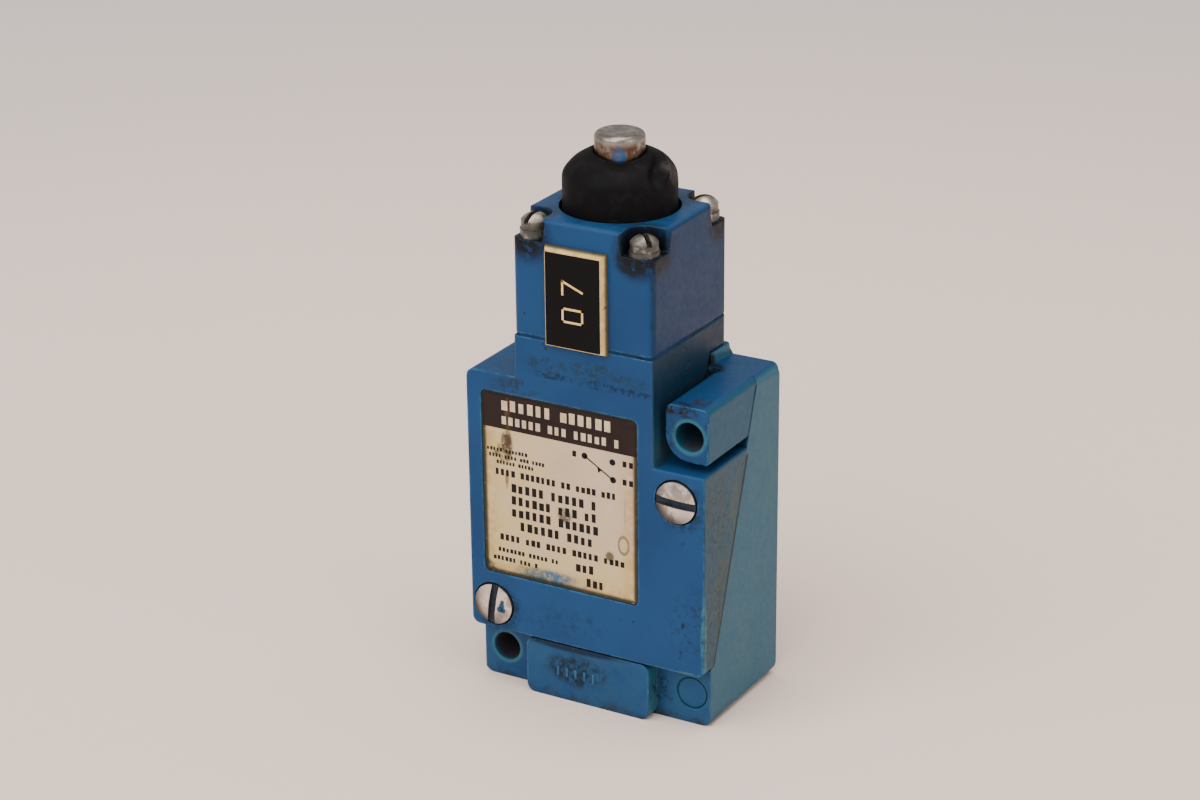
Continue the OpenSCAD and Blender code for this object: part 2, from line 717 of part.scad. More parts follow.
// Upright wall with a rounded shoulder, and a lip that fits the plunger
module boot() color("black") framed() translate([0, axis_d, 0]) rotate_extrude() difference() {
    union() {
        translate([0, recess_z + run]) square([boot_r, boot_shoulder_z - recess_z]);
        intersection() {
            translate([boot_r - boot_dome_r, boot_shoulder_z]) circle(r = boot_dome_r);
            square([boot_r, boot_z]);
        }
        translate([0, boot_shoulder_z]) square([boot_r - boot_dome_r, boot_z - boot_shoulder_z]);
    }
    translate([0, recess_z - 1]) square([boot_r - boot_wall, boot_shoulder_z - recess_z + 1]);
    intersection() {
        translate([boot_r - boot_dome_r, boot_shoulder_z]) circle(r = boot_dome_r - boot_wall);
        square([boot_r, boot_z - boot_wall]);
    }
    translate([0, boot_shoulder_z - 1])
        square([boot_r - boot_dome_r, boot_z - boot_shoulder_z - boot_wall + 1]);
    translate([0, recess_z - 1]) square([boot_lip_r, far]);
}

module boot_retaining_ring() color("silver") framed()
    tube(boot_r - boot_wall - 0.05, 6.6, recess_z, recess_z + 1.2);

base_housing();
base_terminal_block();
terminal_block_screws();
socket_contacts();
terminal_clamps();
terminal_screws();
ground_screw();
ground_cup_washer();
switch_body();
joint_gasket();
rating_label();
captive_screw_washers();
captive_screw_upper();
captive_ring_upper();
captive_screw_lower();
captive_ring_lower();
plug_carrier();
plug_carrier_screws();
plug_blades();
jumper_links();
basic_switch_case();
basic_switch_cover();
basic_switch_screws();
common_terminal();
normally_open_terminal();
normally_closed_terminal();
snap_blade();
moving_contact();
switch_button();
transfer_pin();
pin_guide_bushing();
pin_seal_ring();
spring_seat_washer();
return_spring();
overtravel_spring();
pin_retaining_clip();
plunger();
plunger_collar();
plunger_bushing();
head_housing();
head_gasket();
head_screws();
head_screw_washers();
tag_core();
tag_face();
boot();
boot_retaining_ring();
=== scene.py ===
"""Looks of the plug-in limit switch: camera, stage, worn castings, label, tag, boot and screws."""

import json
import math
import random

import bmesh
import bpy
from mathutils import Matrix, Vector, noise


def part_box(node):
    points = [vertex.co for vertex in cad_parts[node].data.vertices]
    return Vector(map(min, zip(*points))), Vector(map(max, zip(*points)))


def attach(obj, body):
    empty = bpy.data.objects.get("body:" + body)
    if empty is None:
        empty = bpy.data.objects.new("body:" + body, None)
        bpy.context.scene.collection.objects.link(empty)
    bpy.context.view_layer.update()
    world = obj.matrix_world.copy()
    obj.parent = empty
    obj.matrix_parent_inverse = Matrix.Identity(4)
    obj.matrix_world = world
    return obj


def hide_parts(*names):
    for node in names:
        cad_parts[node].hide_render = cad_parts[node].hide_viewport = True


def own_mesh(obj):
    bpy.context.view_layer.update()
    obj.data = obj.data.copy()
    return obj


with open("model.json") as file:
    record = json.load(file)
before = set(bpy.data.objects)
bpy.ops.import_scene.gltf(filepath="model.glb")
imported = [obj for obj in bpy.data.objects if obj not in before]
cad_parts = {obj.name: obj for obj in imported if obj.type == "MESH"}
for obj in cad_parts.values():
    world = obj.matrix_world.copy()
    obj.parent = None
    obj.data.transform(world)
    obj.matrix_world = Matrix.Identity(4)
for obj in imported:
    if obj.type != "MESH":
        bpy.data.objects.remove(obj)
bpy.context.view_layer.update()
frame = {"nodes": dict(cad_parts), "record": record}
NODES = frame["nodes"]
BODY_OF = {node: body for body, nodes in frame["record"]["behaviour"]["bodies"].items() for node in nodes}
MM = 0.001
# a tint for one side of the object starts and is full where the surface faces that side this much
FACING_START, FACING_FULL = 0.3, 0.9


# ---------------------------------------------------------------- materials

class Material:
    """A procedural material: a Principled shader and the nodes that feed it."""

    def __init__(self, name):
        self.material = bpy.data.materials.new(name)
        self.material.use_nodes = True
        self.tree = self.material.node_tree
        self.tree.nodes.clear()
        self.shader = self.tree.nodes.new("ShaderNodeBsdfPrincipled")
        output = self.tree.nodes.new("ShaderNodeOutputMaterial")
        self.tree.links.new(self.shader.outputs["BSDF"], output.inputs["Surface"])
        self.place = self.tree.nodes.new("ShaderNodeTexCoord").outputs["Object"]
        self.relief = None

    def node(self, kind, inputs, **settings):
        made = self.tree.nodes.new("ShaderNode" + kind)
        for key, value in settings.items():
            setattr(made, key, value)
        for key, value in inputs.items():
            self.feed(made.inputs[key], value)
        return made

    def feed(self, socket, value):
        if isinstance(value, bpy.types.NodeSocket):
            self.tree.links.new(value, socket)
        else:
            socket.default_value = value

    def set(self, **values):
        """Sets shader inputs; underscores stand for spaces."""
        for key, value in values.items():
            self.feed(self.shader.inputs[key.replace("_", " ")], value)

    def scaled(self, scale, turn):
        made = self.node("Mapping", {"Vector": self.place, "Scale": scale, "Rotation": turn})
        return made.outputs["Vector"]

    def noise(self, scale, detail, rough, place=None):
        made = self.node("TexNoise", {"Vector": place or self.place, "Scale": scale, "Detail": detail,
                                      "Roughness": rough})
        return made.outputs["Fac"]

    def mottle(self, scale, detail, rough, low, high, place=None):
        """Noise as patches: 0 where it lies below low, 1 where it lies above high."""
        return self.ramp(self.noise(scale, detail, rough, place), low, high)

    def ramp(self, value, low, high):
        """0 below low, 1 above high, smooth between."""
        made = self.node("MapRange", {"Value": value, "From Min": low, "From Max": high},
                         interpolation_type="SMOOTHSTEP")
        return made.outputs["Result"]

    def fall(self, value, low, high):
        """1 below low, 0 above high, smooth between."""
        return self.invert(self.ramp(value, low, high))

    def math(self, operation, a, b=0.0):
        made = self.node("Math", {0: a, 1: b}, operation=operation)
        return made.outputs[0]

    def minus(self, a, b):
        return self.math("SUBTRACT", a, b)

    def invert(self, value):
        return self.minus(1.0, value)

    def absolute(self, value):
        return self.math("ABSOLUTE", value)

    def vector(self, operation, *operands):
        """Vector arithmetic; a length or a dot product comes out as a number."""
        made = self.node("VectorMath", dict(enumerate(operands)), operation=operation)
        return made.outputs["Value" if operation in ("LENGTH", "DOT_PRODUCT") else "Vector"]

    def times(self, *values):
        product = values[0]
        for value in values[1:]:
            product = self.math("MULTIPLY", product, value)
        return product

    def most(self, a, b):
        return self.math("MAXIMUM", a, b)

    def mix(self, amount, below, above):
        made = self.node("Mix", {0: amount, 6: below, 7: above}, data_type="RGBA")
        return made.outputs[2]

    def blend(self, amount, below, above):
        made = self.node("Mix", {0: amount, 2: below, 3: above}, data_type="FLOAT")
        return made.outputs[0]

    def axis(self, name):
        made = self.node("SeparateXYZ", {"Vector": self.place})
        return made.outputs[name]

    def near(self, centre, reach, stretch=(1, 1, 1)):
        """1 at centre, falling to 0 at the distance reach; stretch shortens the distance along an axis."""
        shaped = self.vector("MULTIPLY", self.vector("SUBTRACT", self.place, centre), stretch)
        return self.fall(self.vector("LENGTH", shaped), 0.0, reach)

    def edges(self, radius):
        """Rises towards 1 on sharp outer and inner edges."""
        rounded = self.node("Bevel", {"Radius": radius}, samples=6).outputs["Normal"]
        flat = self.node("NewGeometry", {}).outputs["Normal"]
        return self.ramp(self.invert(self.vector("DOT_PRODUCT", rounded, flat)), 0.02, 0.22)

    def crevices(self, reach):
        """Rises towards 1 in corners and gaps."""
        return self.invert(self.node("AmbientOcclusion", {"Distance": reach}, samples=6).outputs["AO"])

    def facing(self, direction):
        """How much the surface faces a direction of the object, from -1 to 1."""
        return self.vector("DOT_PRODUCT", self.node("NewGeometry", {}).outputs["Normal"], direction)

    def turned_to(self, direction):
        """1 on surfaces that face a direction of the object."""
        return self.ramp(self.facing(direction), FACING_START, FACING_FULL)

    def sides(self):
        """1 on surfaces that face left or right."""
        return self.ramp(self.absolute(self.facing((1, 0, 0))), FACING_START, FACING_FULL)

    def coat(self):
        """What feeds the base colour so far."""
        return self.shader.inputs["Base Color"].links[0].from_socket

    def bump(self, height, distance):
        """Adds a relief; distance is its height in metres."""
        inputs = {"Height": height, "Distance": distance, "Strength": 1.0}
        if self.relief:
            inputs["Normal"] = self.relief
        self.relief = self.node("Bump", inputs).outputs["Normal"]
        self.feed(self.shader.inputs["Normal"], self.relief)


def rgb(red, green, blue):
    """A colour on the 0 to 255 screen scale, as linear light."""
    def linear(value):
        value /= 255
        return value / 12.92 if value <= 0.04045 else ((value + 0.055) / 1.055) ** 2.4
    return (linear(red), linear(green), linear(blue), 1.0)


def paint(name, coat, faded, seed):
    """Old enamel on a die casting: fading, worn edges, dirt and painted shade in the corners and gaps,
    scuffs and small chips.
    """
    m = Material(name)
    shifted = m.vector("ADD", m.place, (seed, seed * 0.7, -seed))
    clouds = m.noise(55, 3, 0.5, shifted)
    colour = m.mix(m.ramp(clouds, 0.25, 0.75), coat, faded)
    grain = m.noise(900, 6, 0.7, shifted)
    worn = m.times(m.edges(0.0008), m.mottle(420, 5, 0.7, 0.38, 0.62, shifted))
    bare = m.times(m.edges(0.0005), m.mottle(700, 6, 0.75, 0.60, 0.68, shifted))
    # dirt and painted shade: darker in corners and gaps, where they are occluded
    grime_and_shade = m.times(m.ramp(m.crevices(0.0022), 0.22, 0.62), m.mottle(260, 5, 0.7, 0.22, 0.55, shifted))
    film = m.times(m.mottle(130, 6, 0.75, 0.52, 0.78, shifted), m.ramp(grain, 0.45, 0.65))
    chips = m.times(m.mottle(360, 2, 0.5, 0.69, 0.72, shifted), m.ramp(clouds, 0.5, 0.6))
    for mask, amount, tint in ((worn, 0.55, rgb(72, 134, 160)), (bare, 0.7, rgb(150, 160, 158)),
                               (grime_and_shade, 0.88, rgb(8, 18, 24)), (film, 0.35, rgb(26, 50, 62)),
                               (chips, 0.8, rgb(20, 24, 30))):
        colour = m.mix(m.times(mask, amount), colour, tint)
    return m, colour, grime_and_shade, grain, chips


def finish_paint(m, colour, grime_and_shade, grain, chips):
    """Gloss, rounded edges and relief of the enamel; the dirt and painted shade in the corners is dull and
    chips are sunk.
    """
    rough = m.blend(m.ramp(grain, 0.3, 0.7), 0.34, 0.48)
    m.set(Base_Color=colour, Roughness=m.blend(grime_and_shade, rough, 0.8), Specular_IOR_Level=0.16)
    m.relief = m.node("Bevel", {"Radius": 0.00045}, samples=8).outputs["Normal"]
    m.bump(m.noise(650, 3, 0.5), 0.00003)
    m.bump(grain, 0.000015)
    m.bump(m.invert(chips), 0.00005)
    return m.material


def off_axis(m, centre):
    """Offset from an axis that runs along Y through centre."""
    return m.vector("MULTIPLY", m.vector("SUBTRACT", m.place, centre), (1, 0, 1))


def round_zone(m, centre, inner, outer, soft=0.0001):
    """1 between two radii round an axis that runs along Y through centre."""
    radius = m.vector("LENGTH", off_axis(m, centre))
    return m.times(m.ramp(radius, inner - soft, inner), m.fall(radius, outer, outer + soft))


def hole_marks(m, colour, centre, radius, wall):
    """Rubbed ring round a hole on the face it opens in, and painted shade on its wall behind that."""
    depth = m.minus(m.axis("Y"), centre.y)
    rubbed = m.times(round_zone(m, centre, 0.0, radius + 0.0004, 0.0004), m.fall(depth, 0.0004, 0.0009),
                     m.mottle(420, 4, 0.7, 0.28, 0.50), 0.8)
    colour = m.mix(rubbed, colour, rgb(44, 96, 110))
    # painted shade on the wall, from a little way in
    inside = m.times(round_zone(m, centre, 0.0, radius + 0.0001), m.ramp(depth, 0.0003, 0.0014))
    return m.mix(m.times(inside, 0.9), colour, wall)


def smear(m, colour, tint, amount, centre, reach, stretch, scale, low, high):
    """A patch of dirt, rubbed paint, painted light or painted shade around a place, broken up by noise
    between low and high.
    """
    patch = m.ramp(m.times(m.near(centre, reach, stretch), 1.6), 0.1, 0.9)
    return m.mix(m.times(patch, m.mottle(scale, 6, 0.75, low, high), amount), colour, tint)


def smears(m, colour, *rows):
    """Several smears, each a row of the values that smear takes."""
    for row in rows:
        colour = smear(m, colour, *row)
    return colour


def metal(name, base, stain, roughness, stain_at=(0.45, 0.65)):
    """Plated or plain steel: fine scratches, stains, dark dirt in the slots."""
    m = Material(name)
    cloud = m.noise(420, 5, 0.7)
    colour = m.mix(m.times(m.ramp(cloud, *stain_at), 0.55), base, stain)
    dirt = m.times(m.ramp(m.crevices(0.0012), 0.42, 0.85), 0.9)
    scratches = m.noise(300, 3, 0.6, m.scaled((1, 1, 14), (0.3, 0.9, 0.5)))
    m.set(Base_Color=m.mix(dirt, colour, rgb(16, 15, 16)), Metallic=m.blend(dirt, 1.0, 0.1),
          Roughness=m.blend(m.ramp(cloud, 0.3, 0.7), roughness, roughness + 0.16))
    m.bump(scratches, 0.00001)
    m.bump(m.noise(900, 4, 0.6), 0.000012)
    return m


def rubber(name, colour, dust, dust_amount):
    """Dull rubber with dust in patches."""
    m = Material(name)
    cloud = m.noise(260, 6, 0.7)
    mixed = m.mix(m.times(m.ramp(cloud, 0.42, 0.75), dust_amount), colour, dust)
    m.set(Base_Color=mixed, Roughness=m.blend(m.ramp(cloud, 0.3, 0.7), 0.50, 0.68), Specular_IOR_Level=0.08)
    m.bump(m.noise(1400, 4, 0.6), 0.00002)
    return m


def plastic(name, colour, roughness):
    """Moulded plastic with a faint mottle and a fine texture."""
    m = Material(name)
    mottle = m.mottle(300, 4, 0.6, 0.3, 0.7)
    darker = tuple(c * 0.72 for c in colour[:3]) + (1.0,)
    m.set(Base_Color=m.mix(mottle, darker, colour), Roughness=m.blend(mottle, roughness, roughness + 0.1),
          Specular_IOR_Level=0.12)
    m.bump(m.noise(1200, 4, 0.6), 0.00001)
    return m


# ---------------------------------------------------------------- mesh helpers

def placed(name, data):
    """A new object in the scene."""
    made = bpy.data.objects.new(name, data)
    bpy.context.scene.collection.objects.link(made)
    return made


def new_piece(name, mesh, body, slot, *replaced):
    piece = placed(name, mesh)
    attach(piece, body)
    if replaced:
        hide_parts(*replaced)
    return piece


def mesh_from(bm, name, material, smooth_angle=None):
    """Mesh with outward faces; edges flatter than smooth_angle, in degrees, are shaded smooth."""
    mesh = bpy.data.meshes.new(name)
    bmesh.ops.recalc_face_normals(bm, faces=bm.faces)
    bm.to_mesh(mesh)
    bm.free()
    mesh.materials.append(material)
    if smooth_angle is not None:
        for polygon in mesh.polygons:
            polygon.use_smooth = True
        mesh.set_sharp_from_angle(angle=math.radians(smooth_angle))
    return mesh


def convex(edge):
    """True where two faces meet in an outer edge."""
    first, second = edge.link_faces
    across = second.calc_center_median() - first.calc_center_median()
    return (first.normal - second.normal).dot(across) < 0


def softened(node, material, *passes):
    """Copy of a CAD node with its outer edges rounded; it stands for the node.

    Each pass is (width, segments, pick), where pick says which edges it rounds.
    """
    merge_distance, flat_degrees, sharp_degrees, smooth_degrees = 2e-6, 0.8, 35, 32
    bm = bmesh.new()
    bm.from_mesh(NODES[node].data)
    bmesh.ops.remove_doubles(bm, verts=bm.verts, dist=merge_distance)
    bmesh.ops.dissolve_limit(bm, angle_limit=math.radians(flat_degrees), verts=bm.verts, edges=bm.edges)
    for width, segments, pick in passes:
        bm.normal_update()
        chosen = [e for e in bm.edges if e.is_manifold and e.calc_face_angle() > math.radians(sharp_degrees)
                  and convex(e) and pick(e) and has_room(e, width)]
        bmesh.ops.bevel(bm, geom=chosen, offset=width, offset_type="OFFSET", segments=segments, profile=0.5,
                        affect="EDGES", clamp_overlap=False)
    mesh = mesh_from(bm, node + "_soft", material, smooth_degrees)
    weigh_normals(mesh)
    slot = next(s["material_slot"] for s in frame["record"]["subparts"] if s["node"] == node)
    return new_piece(node + "_piece", mesh, BODY_OF[node], slot, node)


def weigh_normals(mesh):
    """Corner normals that follow the larger face, so flat faces stay flat beside their rounded edges."""
    same_surface_degrees = 34
    faces_at = [[] for _ in mesh.vertices]
    for polygon in mesh.polygons:
        for vertex in polygon.vertices:
            faces_at[vertex].append(polygon)
    limit = math.cos(math.radians(same_surface_degrees))
    normals = []
    for polygon in mesh.polygons:
        for vertex in polygon.vertices:
            near = [p for p in faces_at[vertex] if p.normal.dot(polygon.normal) > limit]
            normals.append(sum((p.normal * p.area for p in near), Vector()).normalized())
    mesh.normals_split_custom_set(normals)


def has_room(edge, width):
    """True where every face at the edge and at its ends is wide enough to lose a strip of this width."""
    narrowest, far_larger = 1.3 * width, 60 * width

    def breadth(face):
        return 2 * face.calc_area() / sum(e.calc_length() for e in face.edges)

    return all(breadth(face) > narrowest for vert in edge.verts for face in vert.link_faces
               if min(e.calc_length() for e in face.edges) < far_larger)


def middle(edge):
    return (edge.verts[0].co + edge.verts[1].co) / 2


def dress(node, material):
    """Gives a CAD node its material."""
    slots = NODES[node].material_slots
    for entry in slots:
        entry.material = material
    if not slots:
        NODES[node].data.materials.append(material)


def add_box(bm, low, high):
    corners = [bm.verts.new((x, y, z)) for z in (low[2], high[2]) for y in (low[1], high[1])
               for x in (low[0], high[0])]
    for face in ((0, 2, 3, 1), (4, 5, 7, 6), (0, 1, 5, 4), (2, 6, 7, 3), (0, 4, 6, 2), (1, 3, 7, 5)):
        bm.faces.new([corners[i] for i in face])


def revolve(bm, profile, centre, steps, shift):
    """Closed ring from a closed half-section of (radius, height) points, each then moved by shift."""
    rings = []
    for step in range(steps):
        angle = 2 * math.pi * step / steps
        ring = []
        for radius, height in profile:
            place = Vector((radius * math.cos(angle), radius * math.sin(angle), height))
            ring.append(bm.verts.new(centre + shift(place, angle)))
        rings.append(ring)
    count = len(profile)
    for step in range(steps):
        here, there = rings[step], rings[(step + 1) % steps]
        for i in range(count):
            bm.faces.new((here[i], there[i], there[(i + 1) % count], here[(i + 1) % count]))


# ---------------------------------------------------------------- measures taken from the frame

LABEL_LOW, LABEL_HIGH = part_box("rating_label")
TAG_LOW, TAG_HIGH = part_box("tag_face")
BODY_LOW, BODY_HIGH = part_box("switch_body")
BOOT_LOW, BOOT_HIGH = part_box("boot")
PLUNGER_LOW, PLUNGER_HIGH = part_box("plunger")
CAPTIVE_SCREWS = {node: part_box(node) for node in ("captive_screw_lower", "captive_screw_upper")}
HEAD_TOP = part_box("head_housing")[1].z
BASE_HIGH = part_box("base_housing")[1]
PLUNGER_AXIS = (PLUNGER_LOW + PLUNGER_HIGH) / 2
FRONT_Y = BODY_LOW.y
# the slanted joint starts this far back and up, and leans back as it rises
JOINT_FRONT = FRONT_Y + 0.0031
JOINT_LOW = 0.0105
JOINT_SLOPE = math.tan(math.radians(18.3))
# heights where the joint reaches the ear and leaves it, and of the joint between neck and head
EAR_FOOT, EAR_TOP, NECK_JOINT = 0.0445, 0.0570, 0.0647
# depths, in millimetres, of the faces that the ejector mark and the mounting holes open in
LOWER_FACE, EAR_FACE = 3.1, 1.75


# ---------------------------------------------------------------- camera, stage, light

def make_camera():
    """Looks down on the front and the right side, as a person at a table does."""
    azimuth, elevation, roll = math.radians(30.11), math.radians(22.06), math.radians(-0.605)
    distance, lens_mm, sensor_mm = 0.4991, 90.15, 36
    target = Vector((-0.00439, 0.00065, 0.04996))
    back = Vector((math.sin(azimuth) * math.cos(elevation), -math.cos(azimuth) * math.cos(elevation),
                   math.sin(elevation)))
    level = Vector((math.cos(azimuth), math.sin(azimuth), 0))
    right = math.cos(roll) * level + math.sin(roll) * back.cross(level)
    up = back.cross(right)
    data = bpy.data.cameras.new("camera")
    data.lens = lens_mm
    data.sensor_width = sensor_mm
    camera = placed("camera", data)
    matrix = Matrix((right, up, back)).transposed().to_4x4()
    matrix.translation = target + back * distance
    camera.matrix_world = matrix
    bpy.context.scene.camera = camera


def make_stage():
    """A plain pale floor with a painted pool of light: brighter and warmer near the object than far off."""
    m = Material("stage_cloth")
    from_object = m.vector("LENGTH", m.place)
    colour = m.mix(m.ramp(from_object, 0.12, 0.60), rgb(241, 220, 207), rgb(218, 208, 206))
    m.set(Base_Color=colour, Roughness=0.95, Specular_IOR_Level=0.1)
    half = 4.0
    bm = bmesh.new()
    corners = ((-half, -half), (half, -half), (half, half), (-half, half))
    bm.faces.new([bm.verts.new((x, y, 0)) for x, y in corners])
    floor = placed("stage_floor", mesh_from(bm, "stage_floor", m.material))


def area_light(name, place, size, watts, colour):
    """Soft light that points at the middle of the object."""
    data = bpy.data.lights.new(name, "AREA")
    data.shape = "RECTANGLE"
    data.size, data.size_y = size
    data.energy = watts
    data.color = colour
    light = placed(name, data)
    light.location = place
    light.rotation_euler = (Vector((0, 0, 0.05)) - Vector(place)).to_track_quat("-Z", "Y").to_euler()


def make_light():
    world = bpy.data.worlds.new("soft_room")
    world.use_nodes = True
    background = world.node_tree.nodes["Background"]
    background.inputs["Color"].default_value = (1.0, 0.955, 0.93, 1.0)
    background.inputs["Strength"].default_value = 0.58
    bpy.context.scene.world = world
    area_light("key", (-0.30, -1.02, 0.95), (1.7, 1.4), 21, (1.0, 0.98, 0.96))
    area_light("top", (0.1, 0.0, 1.2), (1.0, 1.0), 9, (1.0, 0.96, 0.93))
    area_light("side", (1.1, -0.25, 0.5), (0.8, 0.9), 5, (1.0, 0.95, 0.92))


# ---------------------------------------------------------------- castings

def at(across, depth, height):
    """Place from millimetres across, behind the front face and up."""
    return Vector((across * MM, FRONT_Y + depth * MM, height * MM))


def aged(name, seed, painted_side_light, painted_side_light_dirty, painted_top_light, painted_top_light_amount):
    """The enamel with painted light and shade on its sides, in dirty patches, and on its upper faces."""
    m, colour, *marks = paint(name, rgb(15, 56, 99), rgb(21, 66, 111), seed)
    # painted light and shade: the sides take the colour they show under the lamps, broken by dirty patches
    painted_side_light_mottled = m.mix(m.mottle(210, 6, 0.72, 0.38, 0.62), painted_side_light, painted_side_light_dirty)
    colour = m.mix(m.times(m.sides(), 0.88), colour, painted_side_light_mottled)
    # painted light and shade on the upper faces
    colour = m.mix(m.times(m.turned_to((0, 0, 1)), painted_top_light_amount), colour, painted_top_light)
    return m, colour, marks


def slant(m):
    """Distance behind the slanted joint between the body and the base, along Y."""
    rise = m.math("MULTIPLY", m.minus(m.axis("Z"), JOINT_LOW), JOINT_SLOPE)
    return m.minus(m.minus(m.axis("Y"), JOINT_FRONT), rise)


def joint_shade_line(m, colour, reach):
    """Painted shade in a dark line at the slanted joint, along the rims of the sides, broken up by noise.

    It ends at the distance reach from the joint, and is narrower and fainter on the ear.
    """
    reach_on_ear, strength_on_ear, soft = 0.00018, 0.45, 0.0002
    rim_start, rim_full = BODY_HIGH.x - 0.0016, BODY_HIGH.x - 0.0012
    height = m.axis("Z")
    on_ear = m.ramp(height, EAR_FOOT, EAR_FOOT + 0.0005)
    beyond = m.minus(m.absolute(slant(m)), m.blend(on_ear, reach, reach_on_ear))
    line = m.times(m.fall(beyond, 0.0, soft), m.ramp(m.absolute(m.axis("X")), rim_start, rim_full),
                   m.ramp(height, JOINT_LOW, JOINT_LOW + 0.0005), m.fall(height, EAR_TOP, EAR_TOP + 0.0002),
                   m.blend(on_ear, 1.0, strength_on_ear), m.mottle(700, 4, 0.7, 0.05, 0.25))
    return m.mix(m.times(line, 0.95), colour, rgb(4, 34, 42))


def body_paint():
    m, colour, marks = aged("body_paint", 0.3, rgb(34, 70, 84), rgb(50, 72, 76), rgb(22, 58, 92), 0.4)
    # painted shade: the neck's sides darker
    neck = m.times(m.ramp(m.axis("Z"), 0.0480, 0.0575), m.sides())
    colour = m.mix(m.times(neck, 0.9), colour, rgb(12, 38, 58))
    # dirt and painted shade in the crease, and scuffs, across the foot of the neck
    scuff, crease = rgb(24, 48, 58), rgb(8, 22, 34)
    for across, height, reach in ((-7, 60.2, 0.0070), (2, 60.6, 0.0080), (9, 60.0, 0.0050)):
        place = at(across, 0, height)
        colour = smear(m, colour, scuff, 0.75, place, reach, (1, 1, 3.2), 1500, 0.44, 0.60)
    for across, height, reach in ((-6, 58.5, 0.0060), (2.5, 58.4, 0.0075), (9.5, 58.3, 0.0060)):
        place = at(across, 0, height)
        colour = smear(m, colour, crease, 0.75, place, reach, (1, 1, 6), 1500, 0.42, 0.62)
    # dirt around the label and lower on the front, and darker round each captive screw
    colour = smears(
        m, colour,
        (rgb(34, 42, 38), 0.75, at(-13, 0, 55.2), 0.0070, (1, 1, 3), 700, 0.46, 0.60),
        (rgb(16, 42, 64), 0.50, at(-4, 0, 14.5), 0.0120, (1, 1, 3), 650, 0.48, 0.62))
    for low, high in CAPTIVE_SCREWS.values():
        around = Vector(((low.x + high.x) / 2 + 0.0008, FRONT_Y, (low.z + high.z) / 2 - 0.0006))
        colour = smear(m, colour, rgb(8, 26, 40), 0.80, around, 0.0068, (1, 1, 1), 700, 0.42, 0.60)
    # paint rubbed through along the lower right edge, dark spots and rust on the side
    colour = smears(
        m, colour,
        (rgb(58, 110, 126), 0.75, at(22.25, 0.2, 17), 0.0140, (13, 13, 1), 420, 0.36, 0.56),
        (rgb(58, 106, 120), 0.65, at(20, 0.2, 10.6), 0.0060, (1, 9, 9), 420, 0.38, 0.54),
        (rgb(20, 46, 50), 0.60, at(22.2, 4.2, 37), 0.0070, (1, 1, 0.6), 900, 0.48, 0.58),
        (rgb(66, 78, 60), 0.60, at(22.2, 10.5, 38), 0.0060, (1, 2.5, 1), 500, 0.42, 0.57),
        (rgb(52, 66, 54), 0.70, at(22.2, 6.5, 22), 0.0130, (1, 3.0, 1), 600, 0.44, 0.58),
        (rgb(18, 42, 46), 0.60, at(22.2, 3.0, 20), 0.0130, (1, 2.0, 1), 900, 0.50, 0.59))
    return finish_paint(m, joint_shade_line(m, colour, 0.00020), *marks)


def head_paint():
    m, colour, marks = aged("head_paint", 1.7, rgb(8, 39, 74), rgb(15, 46, 74), rgb(24, 64, 100), 0.4)
    # darker round the head screws' seats
    for screw in screw_places():
        colour = smear(m, colour, rgb(7, 10, 13), 0.97, screw, 0.0074, (1, 1, 1), 560, 0.30, 0.50)
    # chips on the front right edge, dirt below the front right screw and round the boot
    for height in (70.2, 76.6):
        chip = at(12.9, 0, height)
        colour = smear(m, colour, rgb(10, 11, 16), 1.0, chip, 0.0020, (2.6, 2.6, 1), 900, 0.16, 0.28)
    boot_foot = Vector((0, PLUNGER_AXIS.y, HEAD_TOP))
    colour = smears(
        m, colour,
        (rgb(12, 20, 27), 0.80, at(9.2, 0, 80.0), 0.0046, (1, 1, 1.5), 700, 0.40, 0.56),
        (rgb(8, 15, 22), 0.80, boot_foot, 0.0165, (1, 1, 1), 460, 0.46, 0.60))
    return finish_paint(m, colour, *marks)


def screw_places():
    """The four head screws' seats."""
    low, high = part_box("head_screw_washers")
    inset, lift = (high.x - low.x) / 2 - 0.0100, 0.0006
    return [Vector((x, y, low.z + lift)) for x in (low.x + inset, high.x - inset)
            for y in (low.y + inset, high.y - inset)]


